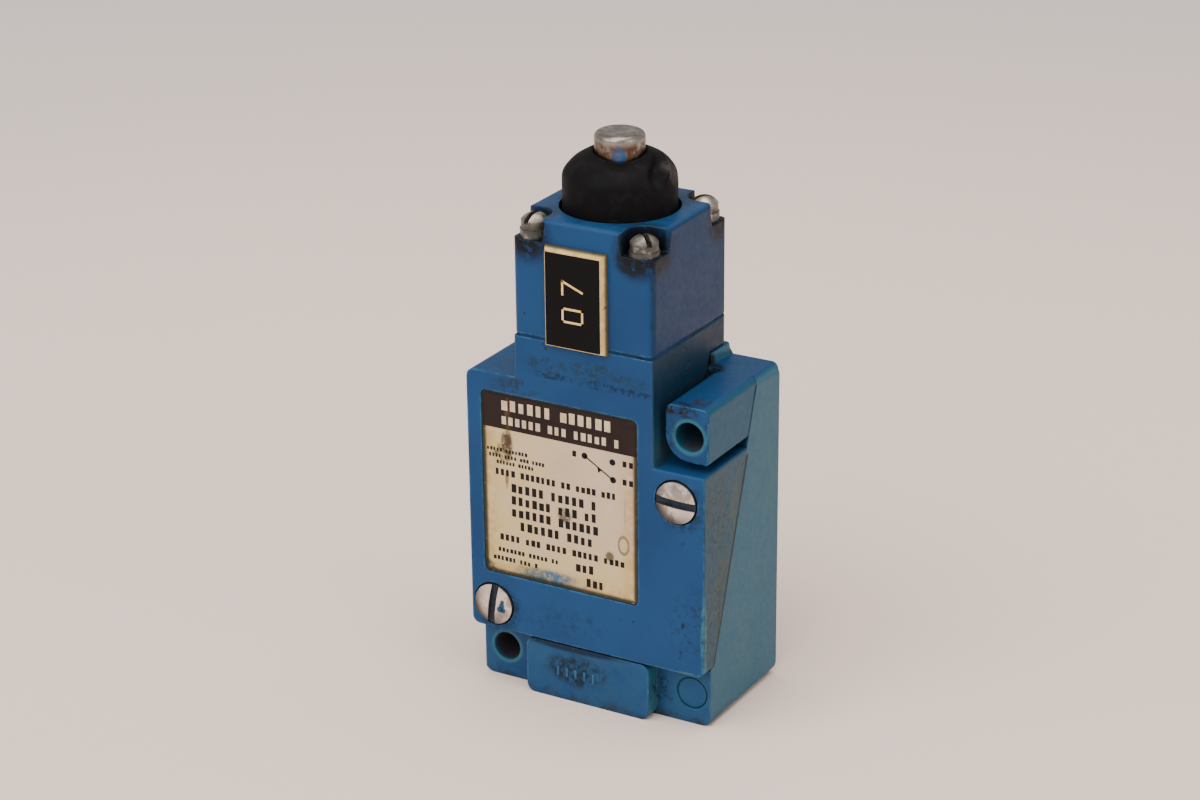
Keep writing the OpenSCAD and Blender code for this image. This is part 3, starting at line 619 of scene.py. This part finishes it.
def base_paint():
    m, colour, marks = aged("base_paint", 2.9, rgb(40, 88, 108), rgb(48, 92, 106), rgb(12, 56, 92), 0.5)
    for hole in frame["record"]["mounts"][:2]:
        x, _, z = hole["pos_m"]
        # the wall colours are the painted shade inside the holes
        depth, wall = (EAR_FACE, rgb(60, 68, 72)) if x > 0 else (LOWER_FACE, rgb(62, 54, 58))
        centre = Vector((x, FRONT_Y + depth * MM, z))
        colour = hole_marks(m, colour, centre, hole["dims"]["r_mm"] * MM, wall)
    front = m.turned_to((0, -1, 0))
    foot_face = m.times(front, m.fall(m.axis("Z"), JOINT_LOW, JOINT_LOW + 0.0005))
    colour = m.mix(m.times(foot_face, m.mottle(180, 4, 0.6, 0.2, 0.7), 0.5), colour, rgb(40, 82, 110))
    ejector_mark = m.times(round_zone(m, at(18.35, LOWER_FACE, 5.6), 0.0024, 0.0030), front)
    colour = m.mix(m.times(ejector_mark, 0.5), colour, rgb(30, 78, 104))
    # painted shade: the ear's side is darker than the rest of the side
    above_foot = m.ramp(m.axis("Z"), EAR_FOOT - 0.0005, EAR_FOOT + 0.0005)
    ear = m.times(m.fall(slant(m), -0.0002, 0.0002), above_foot, m.turned_to((1, 0, 0)), 0.80)
    colour = m.mix(ear, colour, rgb(18, 66, 90))
    # rust above the upper hole and on the ear, dirt behind the neck, on the conduit block and at the foot;
    # dirt and painted shade along the top of the conduit block
    colour = smears(
        m, colour,
        (rgb(22, 19, 18), 1.0, at(16.9, 1.7, 56.2), 0.0048, (1, 1, 2.8), 900, 0.42, 0.54),
        (rgb(18, 38, 46), 0.70, at(14.4, 1.8, 51.5), 0.0065, (2.4, 1, 1), 800, 0.44, 0.57),
        (rgb(48, 36, 28), 0.9, at(19.2, 4.4, 57.1), 0.0026, (1, 1, 1), 1000, 0.44, 0.56),
        (rgb(18, 16, 15), 0.95, at(13.6, 18.4, 57.6), 0.0036, (1, 1, 1), 700, 0.36, 0.54),
        (rgb(12, 30, 36), 0.90, at(-2, 0.2, 5.8), 0.0090, (1, 1, 2.0), 700, 0.38, 0.60),
        (rgb(14, 22, 28), 0.80, at(13, LOWER_FACE, 5), 0.0055, (2.0, 1, 1), 700, 0.44, 0.60),
        # dirt and painted shade in a line along the top of the conduit block, under the body
        (rgb(6, 26, 46), 0.90, at(-3, 0.4, 10.2), 0.0150, (1, 1, 9), 900, 0.24, 0.46))
    foot = m.times(m.fall(m.axis("Z"), 0.0004, 0.0026), m.mottle(430, 6, 0.75, 0.45, 0.62), 0.6)
    colour = m.mix(foot, colour, rgb(34, 34, 34))
    return finish_paint(m, joint_shade_line(m, colour, 0.00110), *marks)


def in_joint(edge):
    """Edges along the joints between the castings stay sharp: the slanted face, and the neck."""
    place = middle(edge)
    lean = (place.y - JOINT_FRONT) - (place.z - JOINT_LOW) * JOINT_SLOPE
    on_slant = abs(lean) < 0.0003 and JOINT_LOW - 0.0007 < place.z < BASE_HIGH.z - 0.0022
    on_neck = abs(place.z - NECK_JOINT) < 0.0005
    return on_slant or on_neck


def outer(edge):
    """Edges on the outside of the castings, away from the joints and shallow recesses."""
    place = middle(edge)
    wall, narrow_area = 0.0035, 0.4e-6
    inside = (abs(place.x) < BODY_HIGH.x - wall and FRONT_Y + 0.0030 < place.y < BASE_HIGH.y - 0.0028
              and JOINT_LOW + 0.0010 < place.z < EAR_TOP - 0.0010)
    thin = any(face.calc_area() < narrow_area for face in edge.link_faces)
    return not inside and not thin and not in_joint(edge)


def make_castings():
    def head_edge(edge):
        return outer(edge) and middle(edge).z < HEAD_TOP + 0.0001

    softened("switch_body", body_paint(), (0.00034, 3, outer))
    softened("head_housing", head_paint(), (0.0007, 5, head_edge))
    softened("base_housing", base_paint(), (0.00050, 4, outer))
    make_pips()


def make_pips():
    """A row of plain raised pips cast on the conduit block."""
    m, colour, marks = aged("pip_paint", 5.1, rgb(54, 98, 116), rgb(62, 104, 114), rgb(50, 96, 120), 0.5)
    worn = m.times(m.mottle(900, 4, 0.7, 0.35, 0.55), 0.4)
    material = finish_paint(m, m.mix(worn, colour, rgb(50, 96, 122)), *marks)
    bm = bmesh.new()
    count, pitch, half_wide, half_tall, proud, sunk = 5, 1.70, 0.20, 0.85, 0.06, 0.3
    middle_across, middle_height, rounding = -2.2, 5.2, 0.00012
    for i in range(count):
        across = middle_across + (i - (count - 1) / 2) * pitch
        low = at(across - half_wide, -proud, middle_height - half_tall)
        high = at(across + half_wide, sunk, middle_height + half_tall)
        add_box(bm, low, high)
    bmesh.ops.bevel(bm, geom=list(bm.edges), offset=rounding, segments=3, profile=0.5, affect="EDGES",
                    clamp_overlap=True)
    mesh = mesh_from(bm, "conduit_block_pips", material, 40)
    new_piece("conduit_block_pips", mesh, "base", "base_paint")


# ---------------------------------------------------------------- label

def on_label(across, height):
    return Vector((across * MM, LABEL_LOW.y, height * MM))


def streak(m, colour):
    """Brown run of dirt that comes down from the header on the left."""
    return smears(
        m, colour,
        (rgb(84, 62, 44), 0.75, on_label(-14.5, 50.0), 0.0045, (5, 1, 1), 900, 0.36, 0.54),
        (rgb(58, 42, 32), 0.95, on_label(-14.8, 44.6), 0.0045, (2.6, 1, 1), 700, 0.34, 0.54),
        (rgb(74, 58, 40), 0.80, on_label(-15.8, 43.0), 0.0030, (1, 1, 1.2), 900, 0.42, 0.58),
        (rgb(112, 84, 56), 0.80, on_label(-14.9, 38.4), 0.0026, (5, 1, 1), 900, 0.32, 0.50))


def make_label():
    m = Material("label_foil")
    colour = m.mix(m.mottle(160, 5, 0.65, 0.3, 0.7), rgb(194, 173, 146), rgb(202, 181, 154))
    # yellowing on the left, at the foot and near the edges
    left = m.fall(m.axis("X"), LABEL_LOW.x, LABEL_LOW.x + 0.020)
    low = m.fall(m.axis("Z"), LABEL_LOW.z, LABEL_LOW.z + 0.014)
    yellow = m.times(m.most(left, low), m.mottle(240, 5, 0.7, 0.28, 0.60), 0.85)
    colour = m.mix(yellow, colour, rgb(204, 182, 118))
    rim = m.times(inside_edge(m, 0.0008, 0.0042), m.mottle(420, 5, 0.7, 0.34, 0.60), 0.7)
    colour = m.mix(rim, colour, rgb(176, 146, 88))
    colour = smears(
        m, streak(m, colour),
        (rgb(34, 88, 122), 0.92, on_label(-6.0, 21.9), 0.0085, (1, 1, 3.4), 620, 0.30, 0.62),
        (rgb(52, 84, 88), 0.70, on_label(-10.4, 22.0), 0.0050, (1, 1, 2.2), 900, 0.36, 0.58))
    for across, height, reach in ((-3.9, 34.1, 0.0020), (-19.2, 21.2, 0.0030), (4.6, 28.6, 0.0013)):
        spot = on_label(across, height)
        colour = smear(m, colour, rgb(58, 54, 40), 0.85, spot, reach, (1, 1, 1), 1100, 0.34, 0.50)
    # a drop that ran down and dried
    run_down = m.times(m.ramp(m.near(on_label(7.55, 36.9), 0.0042, (30, 1, 1)), 0.05, 0.6), 0.7)
    drop = m.near(on_label(7.25, 31.1), 0.0024, (1.6, 1, 1))
    outline = m.times(m.ramp(drop, 0.10, 0.22), m.fall(drop, 0.42, 0.56))
    colour = m.mix(m.times(m.most(run_down, outline), 0.75), colour, rgb(110, 82, 52))
    # black dirt packed along the edges
    dirt = m.times(inside_edge(m, 0.00034, 0.00105), m.mottle(700, 6, 0.78, 0.22, 0.42), 0.95)
    colour = m.mix(dirt, colour, rgb(26, 30, 26))
    m.set(Base_Color=colour, Roughness=0.5, Specular_IOR_Level=0.2)
    m.bump(m.noise(500, 3, 0.5), 0.00001)
    dress("rating_label", m.material)
    make_print()


def inside_edge(m, full, none):
    """1 within full of the label's edge, 0 from none inwards."""
    centre, half = (LABEL_LOW + LABEL_HIGH) / 2, (LABEL_HIGH - LABEL_LOW) / 2
    offset = m.node("SeparateXYZ", {"Vector": m.vector("SUBTRACT", m.place, centre)}).outputs
    margins = [m.minus(half.x, m.absolute(offset["X"])), m.minus(half.z, m.absolute(offset["Z"]))]
    return m.fall(m.math("MINIMUM", *margins), full, none)


def make_print():
    """Thin printed layers: dark header, rows of blank type blocks and a changeover contact diagram."""
    ink = plastic("label_ink", rgb(28, 25, 24), 0.5).material
    pale = plastic("label_pale", rgb(214, 196, 164), 0.5).material
    dark = plastic("label_header", rgb(42, 32, 31), 0.5)
    dirt = dark.times(inside_edge(dark, 0.00022, 0.00060), 0.9)
    dark.set(Base_Color=dark.mix(dirt, streak(dark, dark.coat()), rgb(24, 26, 24)))
    left, face_y, bottom = LABEL_LOW
    width, height = LABEL_HIGH.x - left, LABEL_HIGH.z - bottom
    thick, header, margin, corner = 0.00003, 0.0063, 0.0001, 0.0010
    rng = random.Random(11)

    def printed(name, material, layer, draw):
        bm = bmesh.new()
        draw(bm, face_y - thick * layer)
        new_piece(name, mesh_from(bm, name, material), "switch_unit", "label_foil")

    def block(bm, face, x, z, wide, high):
        add_box(bm, (left + x, face - thick, bottom + z), (left + x + wide, face, bottom + z + high))

    def row(bm, face, x0, x1, z, high, pitch):
        """Words of blank blocks, one block for each letter."""
        x = x0
        word = rng.randint(3, 7)
        while x + pitch < x1:
            if word == 0:
                word = rng.randint(2, 7)
                x += pitch * 0.8
                continue
            wide = pitch * rng.uniform(0.50, 0.72)
            drop = high * rng.choice((0, 0, 0, 0.12))
            block(bm, face, x, z, wide, high - drop)
            x += pitch
            word -= 1

    def plate(bm, face, outline):
        """Flat shape from an outline of (x, z) points from the label's lower left corner."""
        prism(bm, [Vector((left + x, face, bottom + z)) for x, z in outline], thick)

    def arc(x, z, radius, degrees):
        return [(x + radius * math.cos(math.radians(a)), z + radius * math.sin(math.radians(a)))
                for a in degrees]

    def band(bm, face):
        """The dark header, with rounded upper corners."""
        low, high = height - header, height - margin - corner
        plate(bm, face, [(margin, low), (width - margin, low),
                         *arc(width - margin - corner, high, corner, range(0, 91, 15)),
                         *arc(margin + corner, high, corner, range(90, 181, 15))])

    def header_rows(bm, face):
        row(bm, face, 0.0038, 0.0262, height - 0.0029, 0.0019, 0.00165)
        row(bm, face, 0.0038, 0.0266, height - 0.0054, 0.0014, 0.00130)

    def body_rows(bm, face):
        for x0, x1, z, high, pitch in (
                (0.0008, 0.0092, 0.0222, 0.00062, 0.00062), (0.0012, 0.0120, 0.0211, 0.00062, 0.00062),
                (0.0026, 0.0100, 0.0200, 0.00062, 0.00062), (0.0024, 0.0262, 0.0180, 0.00112, 0.00100),
                (0.0054, 0.0232, 0.0153, 0.00152, 0.00132), (0.0054, 0.0232, 0.0131, 0.00152, 0.00132),
                (0.0054, 0.0232, 0.0109, 0.00152, 0.00132), (0.0070, 0.0214, 0.0086, 0.00152, 0.00132),
                (0.0030, 0.0278, 0.0062, 0.00112, 0.00104), (0.0026, 0.0150, 0.0040, 0.00076, 0.00076),
                (0.0176, 0.0226, 0.0036, 0.00150, 0.00125), (0.0016, 0.0110, 0.0024, 0.00076, 0.00076),
                (0.0196, 0.0240, 0.0012, 0.00150, 0.00120)):
            row(bm, face, x0, x1, z, high, pitch)

    def diagram(bm, face):
        common, open_at, closed_at = (0.0195, 0.0247), (0.0247, 0.0246), (0.0248, 0.0215)
        for x, z in (common, open_at, closed_at):
            plate(bm, face, arc(x, z, 0.00056, [i * 11.25 for i in range(32)]))
        start, end = Vector(common), Vector(closed_at)
        across = (end - start).normalized().orthogonal() * 0.00011
        plate(bm, face, [start + across, end + across, end - across, start - across])
        arrow_x, arrow_z = (start + end) / 2 - Vector((0.0003, 0.0003))
        plate(bm, face, [(arrow_x, arrow_z + 0.0005), (arrow_x + 0.0008, arrow_z),
                         (arrow_x + 0.0002, arrow_z - 0.0006)])
        for x, z in ((0.0172, 0.0242), (0.0266, 0.0242), (0.0278, 0.0242), (0.0266, 0.0210),
                     (0.0278, 0.0210)):
            block(bm, face, x, z, 0.0007, 0.0010)

    printed("label_header", dark.material, 0, band)
    printed("label_header_type", pale, 1, header_rows)
    printed("label_type", ink, 0, body_rows)
    printed("label_diagram", ink, 0, diagram)


def prism(bm, ring, thick):
    """Flat plate from an outline in the front plane, raised by thick towards the front."""
    lower = [bm.verts.new(p) for p in ring]
    upper = [bm.verts.new(p - Vector((0, thick, 0))) for p in ring]
    bm.faces.new(lower)
    bm.faces.new(upper[::-1])
    for i, vert in enumerate(lower):
        j = (i + 1) % len(ring)
        bm.faces.new((vert, upper[i], upper[j], lower[j]))


# ---------------------------------------------------------------- tag

def make_tag():
    m = Material("tag_gold")
    colour = m.mix(m.mottle(500, 5, 0.7, 0.35, 0.65), rgb(228, 190, 114), rgb(244, 216, 152))
    colour = m.mix(m.times(m.mottle(620, 6, 0.75, 0.54, 0.68), 0.8), colour, rgb(88, 58, 28))
    foot = m.times(m.ramp(m.axis("Y"), FRONT_Y - 0.0010, FRONT_Y - 0.0003), 0.9)
    m.set(Base_Color=m.mix(foot, colour, rgb(40, 30, 20)), Roughness=0.36, Metallic=0.3)
    m.bump(m.noise(900, 3, 0.6), 0.00001)
    dress("tag_core", m.material)
    dress("tag_face", plastic("tag_black", rgb(6, 6, 9), 0.5).material)

    # the number 07, one stroke wide, reading upwards; each digit with its shift along the text
    stroke, tall, wide, sunk, thick = 0.00036, 0.0036, 0.0022, 0.00001, 0.00004
    nought = ((0, 0), (0, 1)), ((0, 1), (1, 1)), ((1, 1), (1, 0)), ((1, 0), (0, 0))
    seven = ((0, 1), (1, 1)), ((1, 1), (0.35, 0))
    centre = (TAG_LOW + TAG_HIGH) / 2
    bm = bmesh.new()

    def stroke_line(start, end, shift):
        """The plate's text runs upwards, so across becomes up and up becomes left."""
        a = Vector((-(start[1] - 0.5) * tall, start[0] * wide + shift))
        b = Vector((-(end[1] - 0.5) * tall, end[0] * wide + shift))
        way = (b - a).normalized()
        side = way.orthogonal() * stroke / 2
        cap = way * stroke / 2
        ring = [a - cap + side, b + cap + side, b + cap - side, a - cap - side]
        prism(bm, [Vector((centre.x + p.x, TAG_LOW.y + sunk, centre.z + p.y)) for p in ring], thick)

    for digit, shift in ((nought, -0.0034), (seven, 0.0012)):
        for start, end in digit:
            stroke_line(start, end, shift)
    new_piece("tag_number", mesh_from(bm, "tag_number", m.material), "switch_unit", "tag_gold")


# ---------------------------------------------------------------- boot and plunger

def curve(points, per_span):
    """Smooth open curve through the points."""
    made = []
    padded = [points[0], *points, points[-1]]
    for a, b, c, d in zip(padded, padded[1:], padded[2:], padded[3:]):
        for i in range(per_span):
            t = i / per_span
            made.append(tuple(0.5 * (2 * q + (r - p) * t + (2 * p - 5 * q + 4 * r - u) * t * t
                                     + (3 * q - p - 3 * r + u) * t ** 3) for p, q, r, u in zip(a, b, c, d)))
    return made + [points[-1]]


def make_boot():
    """Moulded rubber boot: bead in the recess, upright wall, conical dome, lip on the plunger."""
    low, high = BOOT_LOW.z, BOOT_HIGH.z
    outer = (BOOT_HIGH.x - BOOT_LOW.x) / 2
    lip = (PLUNGER_HIGH.x - PLUNGER_LOW.x) / 2
    wall = 0.0011
    # the dome's outline in millimetres in from the wall and below the top
    steps = (0.08, 5.7), (0.10, 5.0), (0.27, 3.8), (0.92, 2.7), (2.12, 1.45), (3.77, 0.45), (4.5, 0.2)
    dome = curve([(outer - inward * MM, high - below * MM) for inward, below in steps], 5)
    profile = [(outer - wall, low), (outer - 0.0003, low), (outer, low + 0.0003), (outer, low + 0.0012),
               (outer - 0.00012, low + 0.0020), *dome, (lip + 0.0005, high), (lip + 0.0001, high - 0.00025),
               (lip + 0.00005, high - 0.0007)]
    profile += [(max(radius - wall * 0.7, lip + 0.0002), height - wall)
                for radius, height in reversed(dome[:-4])]

    def on_dome(radius, height, degrees):
        turn = math.radians(degrees)
        return Vector((radius * math.cos(turn), radius * math.sin(turn), height)) * MM

    hollow_path = [on_dome(7.2, 92.9, 4), on_dome(8.0, 92.2, -14), on_dome(8.8, 91.2, -20)]
    fold_path = [on_dome(6.3, 93.5, 26), on_dome(7.6, 92.6, 14), on_dome(8.4, 91.8, 4),
                 on_dome(9.0, 90.9, -6)]

    def reach_of(place, path, reach):
        """Bell-shaped closeness of a place to a line through the points."""
        nearest = min(distance_to(place, a, b) for a, b in zip(path, path[1:]))
        return math.exp(-(nearest / reach) ** 2)

    def shift(place, angle):
        """A pressed-in hollow with a fold beside it, a dip in front and a slight waviness all round."""
        inward = Vector((-math.cos(angle), -math.sin(angle), -0.8))
        hollow = reach_of(place, hollow_path, 0.0012) * 0.00090
        ridge = reach_of(place, fold_path, 0.0006) * -0.00034
        to_front = max(0.0, math.cos(angle - math.radians(-60))) ** 2
        on_top = clamped((0.0090 - place.xy.length) / 0.004) * (place.z > high - 0.006)
        dip = Vector((0, 0, -0.0009 * to_front * on_top))
        near_foot = clamped((place.z - low) / 0.003)
        near_lip = clamped((place.xy.length - lip - 0.0004) / 0.0012)
        wave = noise.noise(place * 260) * 0.00009
        return place + dip + inward * (hollow + ridge + wave) * near_foot * near_lip

    centre = Vector((0, PLUNGER_AXIS.y, 0))
    m = rubber("boot_rubber", rgb(10, 9, 11), rgb(40, 38, 40), 0.38)
    # dust and painted light on the shoulder, painted shade in the pressed-in hollow
    shoulder, hollow = centre + on_dome(8.8, 91.2, 14), centre + hollow_path[1]
    m.set(Base_Color=smears(
        m, m.coat(),
        (rgb(74, 68, 66), 0.60, shoulder, 0.0034, (1, 1, 1), 900, 0.30, 0.60),
        (rgb(6, 5, 6), 0.9, hollow, 0.0022, (1, 1, 1), 500, 0.1, 0.3)))
    bm = bmesh.new()
    revolve(bm, profile, centre, 216, shift)
    mesh = mesh_from(bm, "boot_rubber", m.material, 50)
    boot = new_piece("boot_piece", mesh, "switch_unit", "boot_rubber", "boot")
    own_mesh(boot)


def clamped(value):
    return max(0.0, min(1.0, value))


def distance_to(place, start, end):
    """Distance of a place from the line between two points."""
    along = end - start
    return (place - start - along * clamped((place - start).dot(along) / along.length_squared)).length


def make_plunger():
    m = metal("plunger_steel", rgb(152, 145, 137), rgb(78, 68, 58), 0.22, (0.40, 0.60))
    height, tip = m.axis("Z"), PLUNGER_HIGH.z
    rust = m.times(m.fall(height, tip - 0.0020, tip - 0.0007), m.mottle(520, 6, 0.75, 0.30, 0.52), 0.90)
    colour = m.mix(rust, m.coat(), rgb(74, 50, 28))
    crown = m.times(m.ramp(height, tip - 0.0003, tip), m.mottle(800, 5, 0.7, 0.42, 0.60), 0.70)
    colour = m.mix(crown, colour, rgb(88, 82, 84))
    # a smudge of blue paint on the front
    radius, front = (PLUNGER_HIGH.x - PLUNGER_LOW.x) / 2, math.radians(-62)
    smudge = Vector((radius * math.cos(front), PLUNGER_AXIS.y + radius * math.sin(front), tip - 0.0030))
    colour = smear(m, colour, rgb(26, 78, 128), 0.95, smudge, 0.0020, (1.1, 1.1, 0.9), 900, 0.38, 0.52)
    m.set(Base_Color=colour, Metallic=m.blend(m.times(m.near(smudge, 0.0018), 0.8), 0.85, 0.0))
    dress("plunger", m.material)


# ---------------------------------------------------------------- screws and inner pieces

def captive_steel(name, low, high):
    """Steel of a captive screw, with dirt wherever the surface lies below the domed face, and painted shade
    and reflection towards the rim.
    """
    m = metal(name, rgb(212, 206, 200), rgb(82, 76, 76), 0.20, (0.45, 0.60))
    radius = (high.x - low.x) / 2
    dome_radius = 4 * radius
    offset = off_axis(m, (low + high) / 2)
    sagitta = m.times(m.vector("DOT_PRODUCT", offset, offset), 0.5 / dome_radius)
    below = m.minus(m.minus(m.axis("Y"), low.y), sagitta)
    sunk = m.times(m.ramp(below, 0.00012, 0.00026), m.fall(below, 0.0020, 0.0026))
    # painted shade and reflection: darker towards the rim, most on the lower left
    rim = m.ramp(m.vector("LENGTH", offset), radius * 0.30, radius * 0.98)
    aside = m.vector("DOT_PRODUCT", offset, (-0.7, 0, -0.7))
    shade = m.times(rim, m.ramp(aside, -radius * 0.6, radius * 0.8), 0.92)
    steel = m.mix(shade, m.coat(), rgb(54, 56, 64))
    dirt = m.mix(m.mottle(800, 5, 0.7, 0.35, 0.65), rgb(8, 12, 20), rgb(22, 38, 56))
    m.set(Base_Color=m.mix(sunk, steel, dirt), Metallic=m.invert(m.times(sunk, 0.95)),
          Roughness=m.blend(sunk, 0.27, 0.8))
    return m


def make_screws():
    for node, (low, high) in CAPTIVE_SCREWS.items():
        axis, radius = (low + high) / 2, (high.x - low.x) / 2
        m = captive_steel(node + "_steel", low, high)
        if node == "captive_screw_lower":
            # a smudge of blue paint: millimetres across and up from the axis, and reach
            for across, up, reach in ((1.95, 0.85, 0.0006), (1.85, 0.2, 0.0008), (1.5, -0.5, 0.0009),
                                      (2.05, -0.6, 0.0008)):
                place = Vector((axis.x + across * MM, low.y, axis.z + up * MM))
                m.set(Base_Color=smear(m, m.coat(), rgb(24, 70, 102), 0.95, place, reach, (1, 0.2, 1),
                                       900, 0.2, 0.4))

        def from_axis(edge):
            """Distance of an edge from the screw's axis, as a share of the head's radius."""
            return math.hypot(middle(edge).x - axis.x, middle(edge).z - axis.z) / radius

        def on_rim(edge):
            return from_axis(edge) > 0.97 and middle(edge).y < low.y + 0.0008

        def on_slot(edge):
            return from_axis(edge) < 0.85 and middle(edge).y < low.y + 0.0004

        softened(node, m.material, (0.00030, 4, on_rim), (0.00008, 2, on_slot))
    m = metal("head_screw_steel", rgb(184, 176, 164), rgb(50, 46, 42), 0.26, (0.42, 0.60))
    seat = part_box("head_screw_washers")[0].z
    # darker low on the heads, by their seats
    grime_and_shade = m.times(m.fall(m.axis("Z"), seat + 0.0018, seat + 0.0038), m.mottle(500, 5, 0.7, 0.25, 0.50))
    m.set(Base_Color=m.mix(m.times(grime_and_shade, 0.92), m.coat(), rgb(20, 24, 26)),
          Metallic=m.invert(m.times(grime_and_shade, 0.9)))

    def on_head(edge):
        return middle(edge).z > seat + 0.0018

    softened("head_screws", m.material, (0.00012, 2, on_head))
    dress("head_screw_washers", m.material)
    plain = metal("plain_steel", rgb(176, 166, 154), rgb(84, 70, 58), 0.38, (0.38, 0.62))
    for node in ("terminal_block_screws", "terminal_screws", "terminal_clamps", "captive_ring_upper",
                 "captive_ring_lower", "plug_carrier_screws", "basic_switch_screws", "spring_seat_washer",
                 "pin_retaining_clip", "plunger_collar", "boot_retaining_ring", "transfer_pin"):
        dress(node, plain.material)


def make_inner_pieces():
    looks = (
        ("phenolic", plastic, rgb(92, 58, 38), 0.5),
        ("black_plastic", plastic, rgb(34, 33, 34), 0.45),
        ("red_plastic", plastic, rgb(168, 40, 34), 0.35),
        ("brass", metal, rgb(214, 178, 104), rgb(140, 100, 52), 0.32),
        ("bronze", metal, rgb(186, 142, 92), rgb(112, 78, 44), 0.42),
        ("copper", metal, rgb(206, 140, 104), rgb(128, 76, 50), 0.35),
        ("green_steel", metal, rgb(52, 126, 72), rgb(30, 70, 42), 0.38),
        ("spring_steel", metal, rgb(170, 170, 172), rgb(96, 90, 84), 0.30),
        ("silver_contact", metal, rgb(224, 222, 214), rgb(150, 144, 134), 0.22),
        ("gasket_rubber", rubber, rgb(30, 30, 31), rgb(66, 64, 62), 0.25))
    materials = {slot: make(slot, *values).material for slot, make, *values in looks}
    for entry in frame["record"]["subparts"]:
        if entry["material_slot"] in materials:
            dress(entry["node"], materials[entry["material_slot"]])
    dress("head_gasket", rubber("painted_gasket", rgb(20, 54, 86), rgb(12, 16, 22), 0.9).material)
    squash_spring("return_spring", "switch_unit")
    squash_spring("overtravel_spring", "plunger_group")


def squash_spring(node, body):
    """A smooth-shaded copy of the spring that stands for it on the given body."""
    mesh = NODES[node].data.copy()
    for polygon in mesh.polygons:
        polygon.use_smooth = True
    spring = new_piece(node + "_piece", mesh, body, "spring_steel", node)
    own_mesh(spring)


def make_conduit_thread():
    """Thread ridges inside the conduit entry, seen from below."""
    mount = next(m for m in frame["record"]["mounts"] if m["name"] == "conduit_entry")
    radius, length = mount["dims"]["r_mm"] * MM, mount["dims"]["length_mm"] * MM
    # 14 threads to the inch; their crests fade in and out over some steps
    pitch, steps, fade_steps, deep, in_wall = 0.0254 / 14, 64, 20, 0.0008, 0.0002
    turns = int(length / pitch) - 1
    centre = Vector((mount["pos_m"][0], mount["pos_m"][1], 0))
    bm = bmesh.new()
    rows = []
    for i in range(turns * steps + 1):
        angle = 2 * math.pi * i / steps
        z = 0.0006 + pitch * i / steps
        fade = min(1.0, i / fade_steps, (turns * steps - i) / fade_steps)
        crest = radius - deep * max(fade, 0.02)
        way = Vector((math.cos(angle), math.sin(angle), 0))
        rows.append([bm.verts.new(centre + way * r + Vector((0, 0, z + dz)))
                     for r, dz in ((radius + in_wall, 0), (crest, pitch * 0.44), (crest, pitch * 0.56),
                                   (radius + in_wall, pitch))])
    for a, b in zip(rows, rows[1:]):
        for k in range(4):
            bm.faces.new((a[k], b[k], b[(k + 1) % 4], a[(k + 1) % 4]))
    bm.faces.new(rows[0])
    bm.faces.new(rows[-1][::-1])
    steel = metal("thread_metal", rgb(150, 152, 152), rgb(96, 92, 88), 0.45)
    new_piece("conduit_thread", mesh_from(bm, "conduit_thread", steel.material, 40), "base", "base_paint")


make_camera()
make_stage()
make_light()
make_castings()
make_label()
make_tag()
make_boot()
make_plunger()
make_screws()
make_inner_pieces()
make_conduit_thread()
